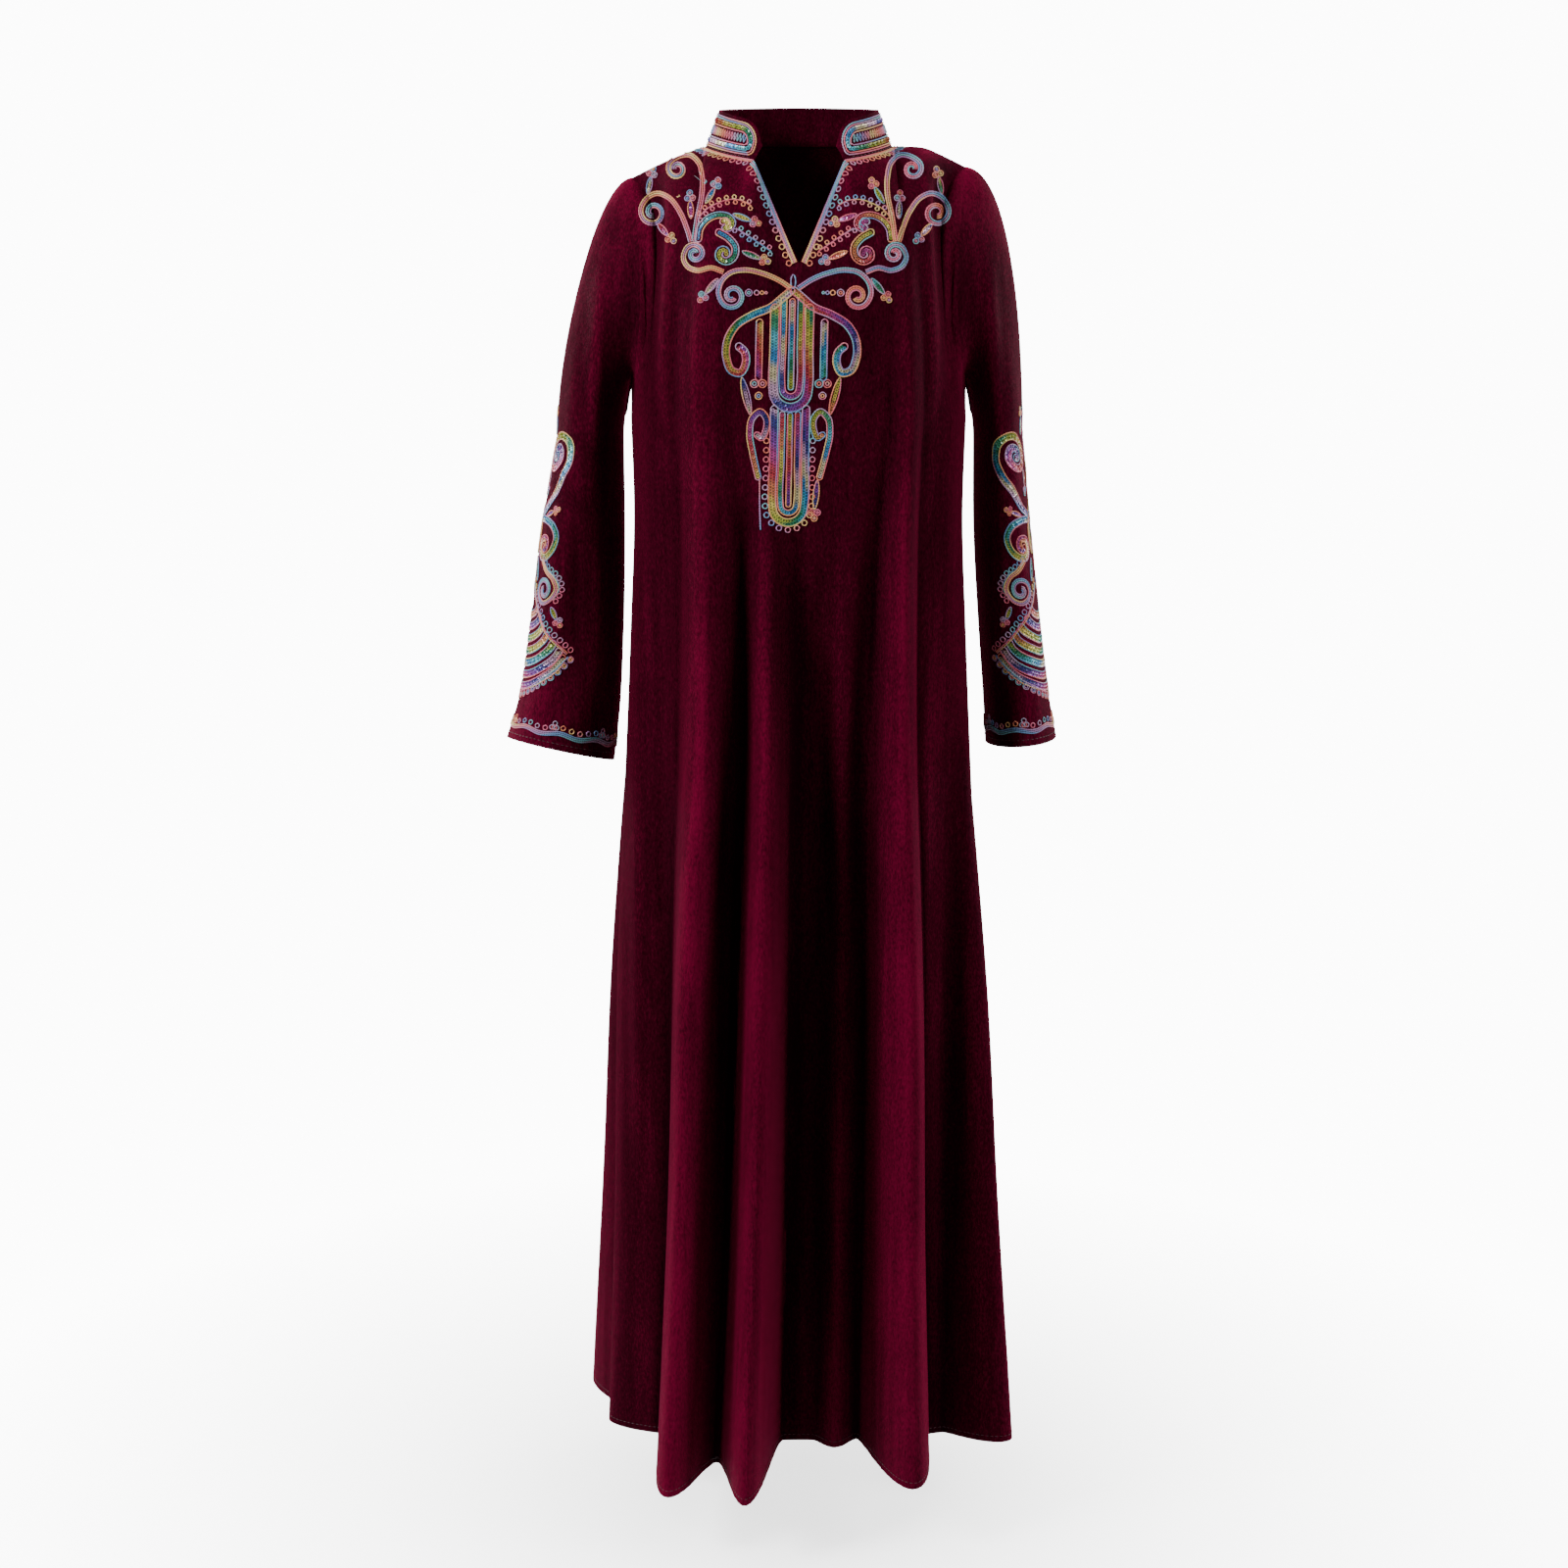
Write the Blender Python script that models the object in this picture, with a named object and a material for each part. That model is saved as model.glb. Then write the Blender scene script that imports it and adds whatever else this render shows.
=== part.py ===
"""A long A-line abaya in velvet, worn form: front, back, two flared sleeves and a stand collar.

Metres, +Z up. The front faces -Y and the wearer's right is at -X. The origin lies between
the shoulders, at the height of the neck points, where the wearer holds the garment up.

Every piece is a wall of cloth with a plain inside, lofted from rings that are worked out
from the tables below. The folds hang as pipes that grow from the chest to the hem.
"""
import math

import bpy
import numpy as np

# Driving dimensions
LENGTH = 1.42          # from the neck point to the hem
WALL = 0.0016          # velvet with its hem and seams pressed in
COLLAR_WALL = 0.0022   # velvet on a stiff core
GAP = 0.0003           # between two pieces at a seam
SIDE_LEAN = 0.65       # how far the side folds point sideways
SHOULDER_LIFT = 0.011  # the left shoulder sits this much higher than the right
BUST_Z = -0.28         # height of the chest ring, a little below the underarm
FOLD_TOP_Z = -0.30     # from here down a fold's line runs straight to the hem
SHOULDER_TIP = (0.174, -0.031)       # x and z
NECK_HALF_WIDTH = 0.098
NECK_FRONT_DEPTH = 0.088
NECK_BACK_DEPTH = 0.060
NECK_FRONT_DROP = 0.018
NECK_BACK_RISE = 0.006
NECK_END_ANGLE = math.radians(152)   # from the middle of the back to a front end of the collar
SLIT_FOOT = (0.0, -0.113, -0.123)    # the low end of the V slit
COLLAR_HEIGHT = 0.037
COLLAR_LEAN = 0.014                  # how far the collar's top edge leans in
COLLAR_END_ROUND = 0.024             # radius of the two front corners
SLEEVE_ROWS = 12
COLLAR_ROWS = 5

VELVET = ((0.080, 0.008, 0.018), 0.78, 0.0)   # colour, roughness, metallic

# Body rings, from the chest to the hem; at 1 a ring is an ellipse, below 1 its sides are flatter
RINGS = (
    # z,     half width, front depth, back depth, roundness
    (-0.28,  0.178,      0.119,       0.110,      0.80),
    (-0.38,  0.176,      0.116,       0.104,      0.86),
    (-0.50,  0.181,      0.109,       0.098,      0.94),
    (-0.64,  0.188,      0.102,       0.098,      1.00),
    (-0.75,  0.194,      0.096,       0.099,      1.00),
    (-0.90,  0.201,      0.087,       0.100,      1.00),
    (-1.13,  0.206,      0.072,       0.102,      1.00),
    (-1.42,  0.217,      0.056,       0.106,      1.00),
)

# Folds: the angle runs from the wearer's right side seam (0) over the front (90) to the
# left side seam (180) and round the back. Half widths are degrees at the fold's root.
FOLDS = (
    # name,            start z, angle top, angle hem, half top, half hem, depth, flare
    ("front right",     -0.17,   61.0,      57.5,      14.0,     11.8,     0.149, 0.06),
    ("front valley",    -0.40,   71.0,      67.0,       5.0,      5.0,     0.034, 0.00),
    ("front middle",    -0.36,   81.5,      75.5,       9.0,     10.4,     0.159, 0.06),
    ("front recess",    -0.30,  106.0,     101.0,       6.5,      7.0,     0.020, 0.05),
    ("front left",      -0.16,  124.0,     120.0,       9.0,     12.5,     0.128, 0.10),
    ("left side",       -0.60,  162.0,     155.0,      13.0,     16.0,     0.054, 0.10),
    ("back left",       -0.34,  213.0,     211.0,      13.0,     15.0,     0.060, 0.10),
    ("back left inner", -0.26,  243.0,     241.0,      11.0,     13.0,     0.082, 0.10),
    ("back middle",     -0.42,  271.0,     269.0,      10.0,     12.5,     0.070, 0.10),
    ("back right inner", -0.24, 298.0,     298.0,      11.0,     13.5,     0.088, 0.10),
    ("back right",      -0.32,  333.0,     327.0,      14.0,     15.0,     0.090, 0.08),
)

# Front half armhole, from the underarm to the shoulder tip; the back one has its own depths
ARMHOLE = (
    # share, x,     front y, back y, z
    (0.00,  0.178,   0.000,  0.000, -0.250),
    (0.18,  0.172,  -0.038,  0.032, -0.232),
    (0.42,  0.165,  -0.054,  0.045, -0.172),
    (0.68,  0.166,  -0.049,  0.042, -0.102),
    (0.86,  0.171,  -0.029,  0.026, -0.054),
    (0.95,  0.174,  -0.011,  0.011, -0.035),
    (1.00,  0.174,   0.000,  0.000, -0.031),
)

# Stretches of a panel's top edge for one half, from the side seam to the middle
FRONT_STRETCHES = (
    # stretch,    end angle, columns
    ("armhole",   30.0,      11),
    ("shoulder",  56.0,      9),
    ("neck",      75.0,      8),
    ("slit",      90.0,      6),
)
BACK_STRETCHES = (
    ("armhole",   30.0,      11),
    ("shoulder",  56.0,      8),
    ("back neck", 90.0,      8),
)

# How the cloth leaves the top edge: direction, and its pull towards the bust ring
FRONT_FALL = (
    # angle, across, forward, down, pull
    (0.0,    0.00,   0.10,    1.00, 0.60),
    (15.0,   0.35,   0.30,    0.90, 0.80),
    (24.0,   0.36,   0.40,    0.85, 0.85),
    (30.0,   0.62,   0.85,    0.40, 1.05),
    (42.0,   0.10,   1.00,    0.25, 1.15),
    (56.0,   0.00,   1.00,    0.22, 1.15),
    (75.0,   0.00,   0.70,    0.72, 1.00),
    (90.0,   0.00,   0.22,    0.98, 1.00),
)
BACK_FALL = (
    (0.0,    0.00,   0.10,    1.00, 0.60),
    (15.0,   0.30,   0.20,    0.95, 0.75),
    (24.0,   0.36,   0.32,    0.90, 0.80),
    (30.0,   0.62,   0.85,    0.40, 1.00),
    (42.0,   0.10,   1.00,    0.25, 1.05),
    (56.0,   0.00,   1.00,    0.22, 1.05),
    (72.0,   0.00,   0.85,    0.50, 1.00),
    (90.0,   0.00,   0.80,    0.60, 1.00),
)

# Sleeve rings below the armhole; inner and outer x are distances from the middle plane
SLEEVE_RINGS = {
    "sleeve_right": (
        # z,    outer x, inner x, middle y, half depth, inner drop, back drop
        (-0.300, 0.258,   0.187,   0.006,    0.060,      0.000,      0.000),
        (-0.400, 0.277,   0.187,   0.008,    0.059,      0.002,      0.002),
        (-0.500, 0.291,   0.190,   0.010,    0.060,      0.008,      0.006),
        (-0.580, 0.306,   0.196,   0.012,    0.062,      0.018,      0.012),
        (-0.618, 0.319,   0.202,   0.012,    0.064,      0.026,      0.016),
    ),
    "sleeve_left": (
        (-0.300, 0.240,   0.188,   0.014,    0.062,      0.000,      0.000),
        (-0.400, 0.251,   0.190,   0.018,    0.064,      0.000,      0.000),
        (-0.500, 0.263,   0.197,   0.022,    0.067,      0.002,      0.000),
        (-0.580, 0.275,   0.204,   0.024,    0.070,      0.006,      0.002),
        (-0.624, 0.284,   0.207,   0.026,    0.072,      0.008,      0.004),
    ),
}
CAP_PULL_LOW = 0.050        # pull of the sleeve cap at the underarm
CAP_PULL_HIGH = {"sleeve_right": 0.118, "sleeve_left": 0.160}   # and at the shoulder tip
NECK_SLOPES = ((0.0, 0.55), (90.0, 0.25), (152.0, 0.85))   # of the cloth, round the neck seam


def clear_scene():
    for item in list(bpy.data.objects):
        bpy.data.objects.remove(item, do_unlink=True)


def smooth(table, where, column):
    """A column of a table as a smooth curve of its first column."""
    at = np.array([row[0] for row in table], float)
    value = np.array([row[column] for row in table], float)
    if at[0] > at[-1]:
        at, value = at[::-1], value[::-1]
    slope = np.gradient(value, at)
    where = np.clip(where, at[0], at[-1])
    i = np.clip(np.searchsorted(at, where) - 1, 0, len(at) - 2)
    span = at[i + 1] - at[i]
    t = (where - at[i]) / span
    start = (1 + 2 * t) * (1 - t) ** 2 * value[i] + t * (1 - t) ** 2 * span * slope[i]
    end = t * t * (3 - 2 * t) * value[i + 1] - t * t * (1 - t) * span * slope[i + 1]
    return start + end


def unit(vectors):
    length = np.linalg.norm(vectors, axis=-1, keepdims=True)
    return vectors / np.maximum(length, 1e-12)


def body_point(angle, z):
    """A point of the body's outer surface at an angle in degrees, at or below the underarm."""
    angle, z = np.broadcast_arrays(np.asarray(angle, float), np.asarray(z, float))
    turn = np.radians(angle)
    half = smooth(RINGS, z, 1)
    depth = np.where(np.sin(turn) >= 0, smooth(RINGS, z, 2), smooth(RINGS, z, 3))
    power = smooth(RINGS, z, 4)
    x = -half * np.sign(np.cos(turn)) * np.abs(np.cos(turn)) ** power
    y = -depth * np.sign(np.sin(turn)) * np.abs(np.sin(turn)) ** power
    point = np.stack([x, y, z], -1)
    along = np.stack([half * np.sin(turn), -depth * np.cos(turn), 0 * z], -1)
    metres_per_degree = np.linalg.norm(along, axis=-1) * math.pi / 180
    along = unit(along)
    # front folds stand straight out of the flat ring, and side folds lean to their side
    sideways = SIDE_LEAN * np.cos(turn) * np.abs(np.cos(turn)) ** 1.5
    out = unit(np.stack([-sideways, -np.sin(turn), 0 * z], -1))
    fall = np.clip((FOLD_TOP_Z - z) / (LENGTH + FOLD_TOP_Z), 0, 1)
    for name, start, top, hem, half_top, half_hem, fold_depth, flare in FOLDS:
        grown = np.clip((start - z) / (LENGTH + start), 0, 1) ** 0.9
        middle = top + (hem - top) * fall
        width = half_top + (half_hem - half_top) * fall
        away = (angle - middle + 180) % 360 - 180
        q = np.clip(away / width, -1, 1)
        rise = fold_depth * grown * np.cos(math.pi * q / 2) ** 2
        spread = flare * width * metres_per_degree * np.sqrt(grown) * np.sin(math.pi * q)
        point = point + out * rise[..., None] + along * spread[..., None]
    return point


def neck_point(turn):
    """A point of the neck seam; the turn is 0 behind and grows towards the wearer's left."""
    turn = np.asarray(turn, float)
    front = np.cos(turn) < 0
    depth = np.where(front, NECK_FRONT_DEPTH, NECK_BACK_DEPTH)
    share = np.clip(-np.cos(turn) / -math.cos(NECK_END_ANGLE), 0, 1)
    z = np.where(front, -NECK_FRONT_DROP * share ** 1.5, NECK_BACK_RISE * np.cos(turn))
    return np.stack([NECK_HALF_WIDTH * np.sin(turn), depth * np.cos(turn), z], -1)


def lift_left(points):
    """The worn garment sits a little higher on the wearer's left shoulder."""
    share = np.clip((points[..., 0] - NECK_HALF_WIDTH + 0.005) / 0.045, 0, 1)
    fade = np.clip((points[..., 2] - BUST_Z) / (SHOULDER_TIP[1] - BUST_Z), 0, 1)
    lifted = points.copy()
    lifted[..., 2] += SHOULDER_LIFT * share * share * (3 - 2 * share) * fade
    return lifted


def top_edge(stretch, share, side):
    """The panel's top edge at x <= 0; share runs along the stretch, side is 'front' or 'back'."""
    share = np.asarray(share, float)
    if stretch == "armhole":
        y_column = 2 if side == "front" else 3
        columns = [smooth(ARMHOLE, share, c) for c in (1, y_column, 4)]
        return np.stack([-columns[0], columns[1], columns[2]], -1)
    if stretch == "shoulder":
        x = SHOULDER_TIP[0] + (NECK_HALF_WIDTH - SHOULDER_TIP[0]) * share
        z = SHOULDER_TIP[1] * (1 - share) ** 1.25
        return np.stack([-x, 0 * x, z], -1)
    if stretch == "neck":
        return neck_point(-math.pi / 2 - share * (NECK_END_ANGLE - math.pi / 2))
    if stretch == "back neck":
        return neck_point(-math.pi / 2 * (1 - share))
    start = neck_point(-NECK_END_ANGLE)
    return start + (np.array(SLIT_FOOT) - start) * share[..., None]


def column_plan(stretches, side):
    """Angles and top points of a panel's columns, closer together where folds take cloth."""
    angles, tops = [], []
    begin = 0.0
    for stretch, end, count in stretches:
        fine = np.linspace(begin, end, 241)
        mirror = 180 - fine
        if side == "back":
            fine_hem, mirror_hem = 360 - fine, 180 + fine
        else:
            fine_hem, mirror_hem = fine, mirror
        step = 0
        for at in (fine_hem, mirror_hem):
            hem = body_point(at, -LENGTH)
            step = step + np.linalg.norm(np.diff(hem, axis=0), axis=1)
        even = np.full_like(step, step.mean())
        grown = np.concatenate([[0], np.cumsum(step + even)])
        share = np.interp(np.linspace(0, grown[-1], count + 1), grown, np.linspace(0, 1, 241))
        points = top_edge(stretch, share ** 1.5 if stretch == "armhole" else share, side)
        first = 0 if not angles else 1
        angles += list((begin + (end - begin) * share)[first:])
        tops += list(points[first:])
        begin = end
    angles, tops = np.array(angles), np.array(tops)
    mirrored = tops[:-1][::-1] * np.array([-1, 1, 1])
    all_angles = np.concatenate([angles, 180 - angles[:-1][::-1]])
    return all_angles, lift_left(np.concatenate([tops, mirrored]))


def panel_rows(angles, tops, side, upper, lower):
    """The outer surface of a panel, row by row, as an array of rows by columns by xyz."""
    sign = -1.0 if side == "front" else 1.0
    ring_angle = angles if side == "front" else (360 - angles) % 360
    fall_table = FRONT_FALL if side == "front" else BACK_FALL
    mirror_angle = np.minimum(angles, 180 - angles)
    across = smooth(fall_table, mirror_angle, 1) * np.sign(90 - angles)
    forward = smooth(fall_table, mirror_angle, 2) * sign
    down = -smooth(fall_table, mirror_angle, 3)
    pull = smooth(fall_table, mirror_angle, 4)
    leave = unit(np.stack([across, forward, down], -1))
    plain_bust = body_point(ring_angle, BUST_Z)
    reach = np.linalg.norm(plain_bust - tops, axis=1)
    tangent_top = leave * (reach * pull)[:, None]
    tangent_bust = np.stack([0 * reach, 0 * reach, -reach], -1)
    rows = []
    for t in np.linspace(0, 1, upper + 1):
        h00, h10 = (1 + 2 * t) * (1 - t) ** 2, t * (1 - t) ** 2
        h01, h11 = t * t * (3 - 2 * t), -t * t * (1 - t)
        row = h00 * tops + h10 * tangent_top + h01 * plain_bust + h11 * tangent_bust
        rows.append(row)
    for share in np.linspace(0, 1, lower + 1)[1:]:
        z = BUST_Z + (-LENGTH - BUST_Z) * share ** 1.12
        rows.append(body_point(ring_angle, z))
    return np.array(rows)


def even_tangents(grid, axis, closed=False):
    """Mean of the unit steps to the neighbours on both sides, whatever their spacing."""
    if closed:
        step = unit(np.roll(grid, -1, axis=axis) - grid)
        return step + np.roll(step, 1, axis=axis)
    step = unit(np.diff(grid, axis=axis))
    first = np.take(step, [0], axis=axis)
    last = np.take(step, [-1], axis=axis)
    return np.concatenate([first, step], axis=axis) + np.concatenate([step, last], axis=axis)


def grid_normals(grid, closed=False):
    """Normals of a grid, by the cross product of its two directions."""
    return unit(np.cross(even_tangents(grid, 1, closed), even_tangents(grid, 0)))


def make_panel(side, stretches, upper, lower):
    """Grid and normals of the front or back; both are shared along the seams."""
    angles, tops = column_plan(stretches, side)
    grid = panel_rows(angles, tops, side, upper, lower)
    facing = 1.0 if side == "back" else -1.0
    normal = grid_normals(grid)
    if (normal[:, :, 1] * facing).mean() < 0:
        normal = -normal
    for column in (0, -1):
        normal[:, column, 1] = 0
    first = stretches[0][2]
    last = first + stretches[1][2]
    for seam in (slice(first, last + 1), slice(len(angles) - 1 - last, len(angles) - first)):
        run = np.gradient(grid[0, seam], axis=0)
        normal[0, seam] = np.stack([-run[:, 2], 0 * run[:, 0], run[:, 0]], -1)
    return grid, unit(normal)


def part_seams(grid, side, stretches):
    """The panel moved off its side and shoulder seams by half a seam gap."""
    moved = grid.copy()
    shift = (-0.5 if side == "front" else 0.5) * GAP
    moved[:, 0, 1] += shift
    moved[:, -1, 1] += shift
    first_shoulder = stretches[0][2]
    last_shoulder = first_shoulder + stretches[1][2]
    for c in range(first_shoulder, last_shoulder + 1):
        moved[0, c, 1] += shift
        moved[0, grid.shape[1] - 1 - c, 1] += shift
    return moved


def cloth_wall(name, outer, normal, wall, colour, closed=False):
    """A closed wall of cloth: the outer grid, a plain inside one wall behind it, and rims."""
    rows, columns = outer.shape[:2]
    inner = outer - normal * wall
    points = np.concatenate([outer.reshape(-1, 3), inner.reshape(-1, 3)])
    size = rows * columns

    def at(r, c, inside=False):
        return r * columns + c % columns + (size if inside else 0)

    faces = []
    last = columns if closed else columns - 1
    for r in range(rows - 1):
        for c in range(last):
            faces.append((at(r, c), at(r + 1, c), at(r + 1, c + 1), at(r, c + 1)))
            faces.append((at(r, c, True), at(r, c + 1, True),
                          at(r + 1, c + 1, True), at(r + 1, c, True)))
    for c in range(last):
        faces.append((at(0, c), at(0, c + 1), at(0, c + 1, True), at(0, c, True)))
        end = rows - 1
        faces.append((at(end, c), at(end, c, True), at(end, c + 1, True), at(end, c + 1)))
    if not closed:
        for r in range(rows - 1):
            faces.append((at(r, 0), at(r, 0, True), at(r + 1, 0, True), at(r + 1, 0)))
            end = columns - 1
            faces.append((at(r, end), at(r + 1, end), at(r + 1, end, True), at(r, end, True)))
    corners = points[np.array(faces)]
    facing = np.cross(corners[:, 1] - corners[:, 0], corners[:, 2] - corners[:, 0])
    if (facing * corners[:, 0]).sum() < 0:
        faces = [face[::-1] for face in faces]
    mesh = bpy.data.meshes.new(name)
    mesh.from_pydata(points.tolist(), [], faces)
    mesh.validate()
    mesh.materials.append(colour)
    mesh.shade_smooth()
    item = bpy.data.objects.new(name, mesh)
    COLLECTION.objects.link(item)
    return item


def seam_columns(front, back):
    """The (panel, column) pairs round each armhole and along the neck seam."""
    hole, shoulder, neck = (row[2] for row in FRONT_STRETCHES[:3])
    back_shoulder = BACK_STRETCHES[1][2]
    front_last, back_last = front.shape[1] - 1, back.shape[1] - 1
    right = [("front", c) for c in range(hole, -1, -1)]
    right += [("back", c) for c in range(1, hole)]
    left = [("front", c) for c in range(front_last - hole, front_last + 1)]
    left += [("back", c) for c in range(back_last - 1, back_last - hole, -1)]
    first, back_first = hole + shoulder, hole + back_shoulder
    collar = [("front", c) for c in range(first + neck, first - 1, -1)]
    collar += [("back", c) for c in range(back_first + 1, back_last - back_first)]
    collar += [("front", c) for c in range(front_last - first, front_last - first - neck - 1, -1)]
    return right, left, collar


def seam_normals(points, normals, closed):
    """Normals evened out along a seam, square to it, so that both pieces share its faces."""
    if closed:
        for _ in range(2):
            normals = np.roll(normals, 1, axis=0) + 2 * normals + np.roll(normals, -1, axis=0)
            normals = unit(normals)
        along = unit(np.roll(points, -1, axis=0) - np.roll(points, 1, axis=0))
    else:
        along = unit(np.gradient(points, axis=0))
    return unit(normals - (normals * along).sum(axis=1, keepdims=True) * along)


def neck_normals(points):
    """Outward normals of the cloth round the neck seam, from its slope there."""
    along = unit(np.gradient(points, axis=0))
    out = unit(np.cross(along, np.array([0, 0, 1.0])) * np.array([1, 1, 0]))
    if (out * points).sum() < 0:
        out = -out
    count = len(points)
    turn = np.abs(np.linspace(-1, 1, count)) * NECK_SLOPES[-1][0]
    slope = smooth(NECK_SLOPES, turn, 1)
    return unit(out * slope[:, None] + np.array([0, 0, 1.0]))


def make_sleeve(name, ring, normal, colour):
    """A sleeve from its armhole seam to its cuff."""
    side = -1.0 if name == "sleeve_right" else 1.0
    along = np.roll(ring, -1, axis=0) - np.roll(ring, 1, axis=0)
    away = unit(np.cross(along, normal))
    if away[:, 0].sum() * side < 0:
        away = -away
    start = ring + away * GAP
    length = np.concatenate([[0], np.cumsum(np.linalg.norm(
        np.diff(np.vstack([ring, ring[:1]]), axis=0), axis=1))])
    turn = 2 * math.pi * length[:-1] / length[-1]
    table = SLEEVE_RINGS[name]

    def ring_at(z):
        outer, inner, middle, deep, inner_drop, back_drop = (
            smooth(table, z, c) for c in range(1, 7))
        half = (outer - inner) / 2
        x = (outer + inner) / 2 + half * np.cos(turn)
        y = middle - deep * np.sin(turn)
        drop = inner_drop * (1 - np.cos(turn)) / 2 + back_drop * (1 - np.sin(turn)) / 2
        return np.stack([side * x, y, z - drop], -1)

    first = ring_at(table[0][0])
    upper = ((1 + np.cos(turn)) / 2) ** 1.5
    pull = CAP_PULL_LOW + (CAP_PULL_HIGH[name] - CAP_PULL_LOW) * upper
    reach = np.linalg.norm(first - start, axis=1)
    tangent_start = away * pull[:, None]
    tangent_end = np.stack([0 * reach, 0 * reach, -reach], -1) * 0.9
    rows = []
    cap_rows = SLEEVE_ROWS // 2
    for share in np.linspace(0, 1, cap_rows + 1):
        t = share ** 1.3
        h00, h10 = (1 + 2 * t) * (1 - t) ** 2, t * (1 - t) ** 2
        h01, h11 = t * t * (3 - 2 * t), -t * t * (1 - t)
        rows.append(h00 * start + h10 * tangent_start + h01 * first + h11 * tangent_end)
    for share in np.linspace(0, 1, SLEEVE_ROWS - cap_rows + 1)[1:]:
        rows.append(ring_at(table[0][0] + (table[-1][0] - table[0][0]) * share))
    grid = np.array(rows)
    grid_normal = grid_normals(grid, closed=True)
    middle_row = grid[-2] - grid[-2].mean(axis=0)
    if (grid_normal[-2] * middle_row).sum() < 0:
        grid_normal = -grid_normal
    grid_normal[0] = normal
    return cloth_wall(name, grid, grid_normal, WALL, colour, closed=True)


def make_collar(seam, normal, colour):
    """A stand collar: foot on the neck seam, a short bend, and a band with round front ends."""
    along = unit(np.gradient(seam, axis=0))
    away = unit(np.cross(along, normal))
    centre = np.array([0.0, -0.01, 0.0])
    if (away * (centre - seam)).sum() < 0:
        away = -away
    foot = seam + away * GAP
    length = np.concatenate([[0], np.cumsum(np.linalg.norm(np.diff(seam, axis=0), axis=1))])
    from_end = np.minimum(length, length[-1] - length)
    corner = np.clip(1 - from_end / COLLAR_END_ROUND, 0, 1)
    height = COLLAR_HEIGHT - COLLAR_END_ROUND * (1 - np.sqrt(np.clip(1 - corner ** 2, 0, 1)))
    height = np.maximum(height, 0.35 * COLLAR_HEIGHT)
    inward = unit((centre - seam) * np.array([1, 1, 0]))
    rows = [foot]
    for share in np.linspace(0.08, 1, COLLAR_ROWS):
        up = np.stack([0 * height, 0 * height, height * share], -1)
        rows.append(foot + away * 0.0012 + inward * COLLAR_LEAN * share + up)
    grid = np.array(rows)
    grid_normal = grid_normals(grid)
    if (grid_normal[-1] * -inward).sum() < 0:
        grid_normal = -grid_normal
    grid_normal[0] = normal
    return cloth_wall("collar", grid, grid_normal, COLLAR_WALL, colour)


def velvet_material():
    colour, roughness, metallic = VELVET
    material = bpy.data.materials.new("velvet")
    material.use_nodes = True
    shader = material.node_tree.nodes["Principled BSDF"]
    shader.inputs["Base Color"].default_value = (*colour, 1.0)
    shader.inputs["Roughness"].default_value = roughness
    shader.inputs["Metallic"].default_value = metallic
    return material


def build():
    velvet = velvet_material()
    front, front_normal = make_panel("front", FRONT_STRETCHES, 6, 11)
    back, back_normal = make_panel("back", BACK_STRETCHES, 6, 11)
    grids = {"front": front, "back": back}
    normals = {"front": front_normal, "back": back_normal}
    right, left, neck = seam_columns(front, back)
    shared = {}
    for seam_name, pairs in (("sleeve_right", right), ("sleeve_left", left), ("collar", neck)):
        points = np.array([grids[panel][0, c] for panel, c in pairs])
        if seam_name == "collar":
            rough = neck_normals(points)
        else:
            rough = np.array([normals[panel][0, c] for panel, c in pairs])
            rough[0] = unit(front_normal[0, right[0][1]] + back_normal[0, right[0][1]])
            rough[0, 0] = abs(rough[0, 0]) * np.sign(points[0, 0])
        even = seam_normals(points, rough, closed=seam_name != "collar")
        shared[seam_name] = (points, even)
        for (panel, c), normal in zip(pairs, even):
            for other in ("front", "back"):
                same = np.linalg.norm(grids[other][0] - grids[panel][0, c], axis=1) < 1e-9
                normals[other][0, same] = normal
    cloth_wall("front", part_seams(front, "front", FRONT_STRETCHES), front_normal, WALL, velvet)
    cloth_wall("back", part_seams(back, "back", BACK_STRETCHES), back_normal, WALL, velvet)
    for name in ("sleeve_right", "sleeve_left"):
        make_sleeve(name, *shared[name], velvet)
    make_collar(*shared["collar"], velvet)


clear_scene()
COLLECTION = bpy.data.collections.new("abaya")
bpy.context.scene.collection.children.link(COLLECTION)
build()
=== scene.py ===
# %% [markdown]
# A long abaya in burgundy velvet hangs in its worn form. Its solids come ready from the CAD
# model, and this lesson gives them cloth, nap, cord, sequins and stitches. Everything is in
# metres, Z points up and the front of the garment faces -Y. The first cell loads the solids.

# %% Load the frame
import math

import bpy
import numpy as np
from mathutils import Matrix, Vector
from mathutils.bvhtree import BVHTree


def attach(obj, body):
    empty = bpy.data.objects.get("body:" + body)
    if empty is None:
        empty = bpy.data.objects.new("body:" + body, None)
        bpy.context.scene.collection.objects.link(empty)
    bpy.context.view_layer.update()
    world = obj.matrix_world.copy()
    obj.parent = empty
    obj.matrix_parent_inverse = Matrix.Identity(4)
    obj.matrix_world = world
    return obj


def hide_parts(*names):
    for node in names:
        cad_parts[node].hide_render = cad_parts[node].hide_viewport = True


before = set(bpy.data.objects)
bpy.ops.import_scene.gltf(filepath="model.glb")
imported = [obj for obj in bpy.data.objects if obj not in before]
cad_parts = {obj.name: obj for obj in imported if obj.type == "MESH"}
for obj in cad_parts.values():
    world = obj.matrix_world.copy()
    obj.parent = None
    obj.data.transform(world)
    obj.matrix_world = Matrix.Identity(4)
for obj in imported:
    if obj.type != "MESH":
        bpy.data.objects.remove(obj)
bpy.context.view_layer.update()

# %% [markdown]
# The camera comes first, because every later choice is judged through it. It stands 2.6 m in
# front of the garment at the height of its chest and looks a little down, so the folds at the
# hem open towards it.

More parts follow.
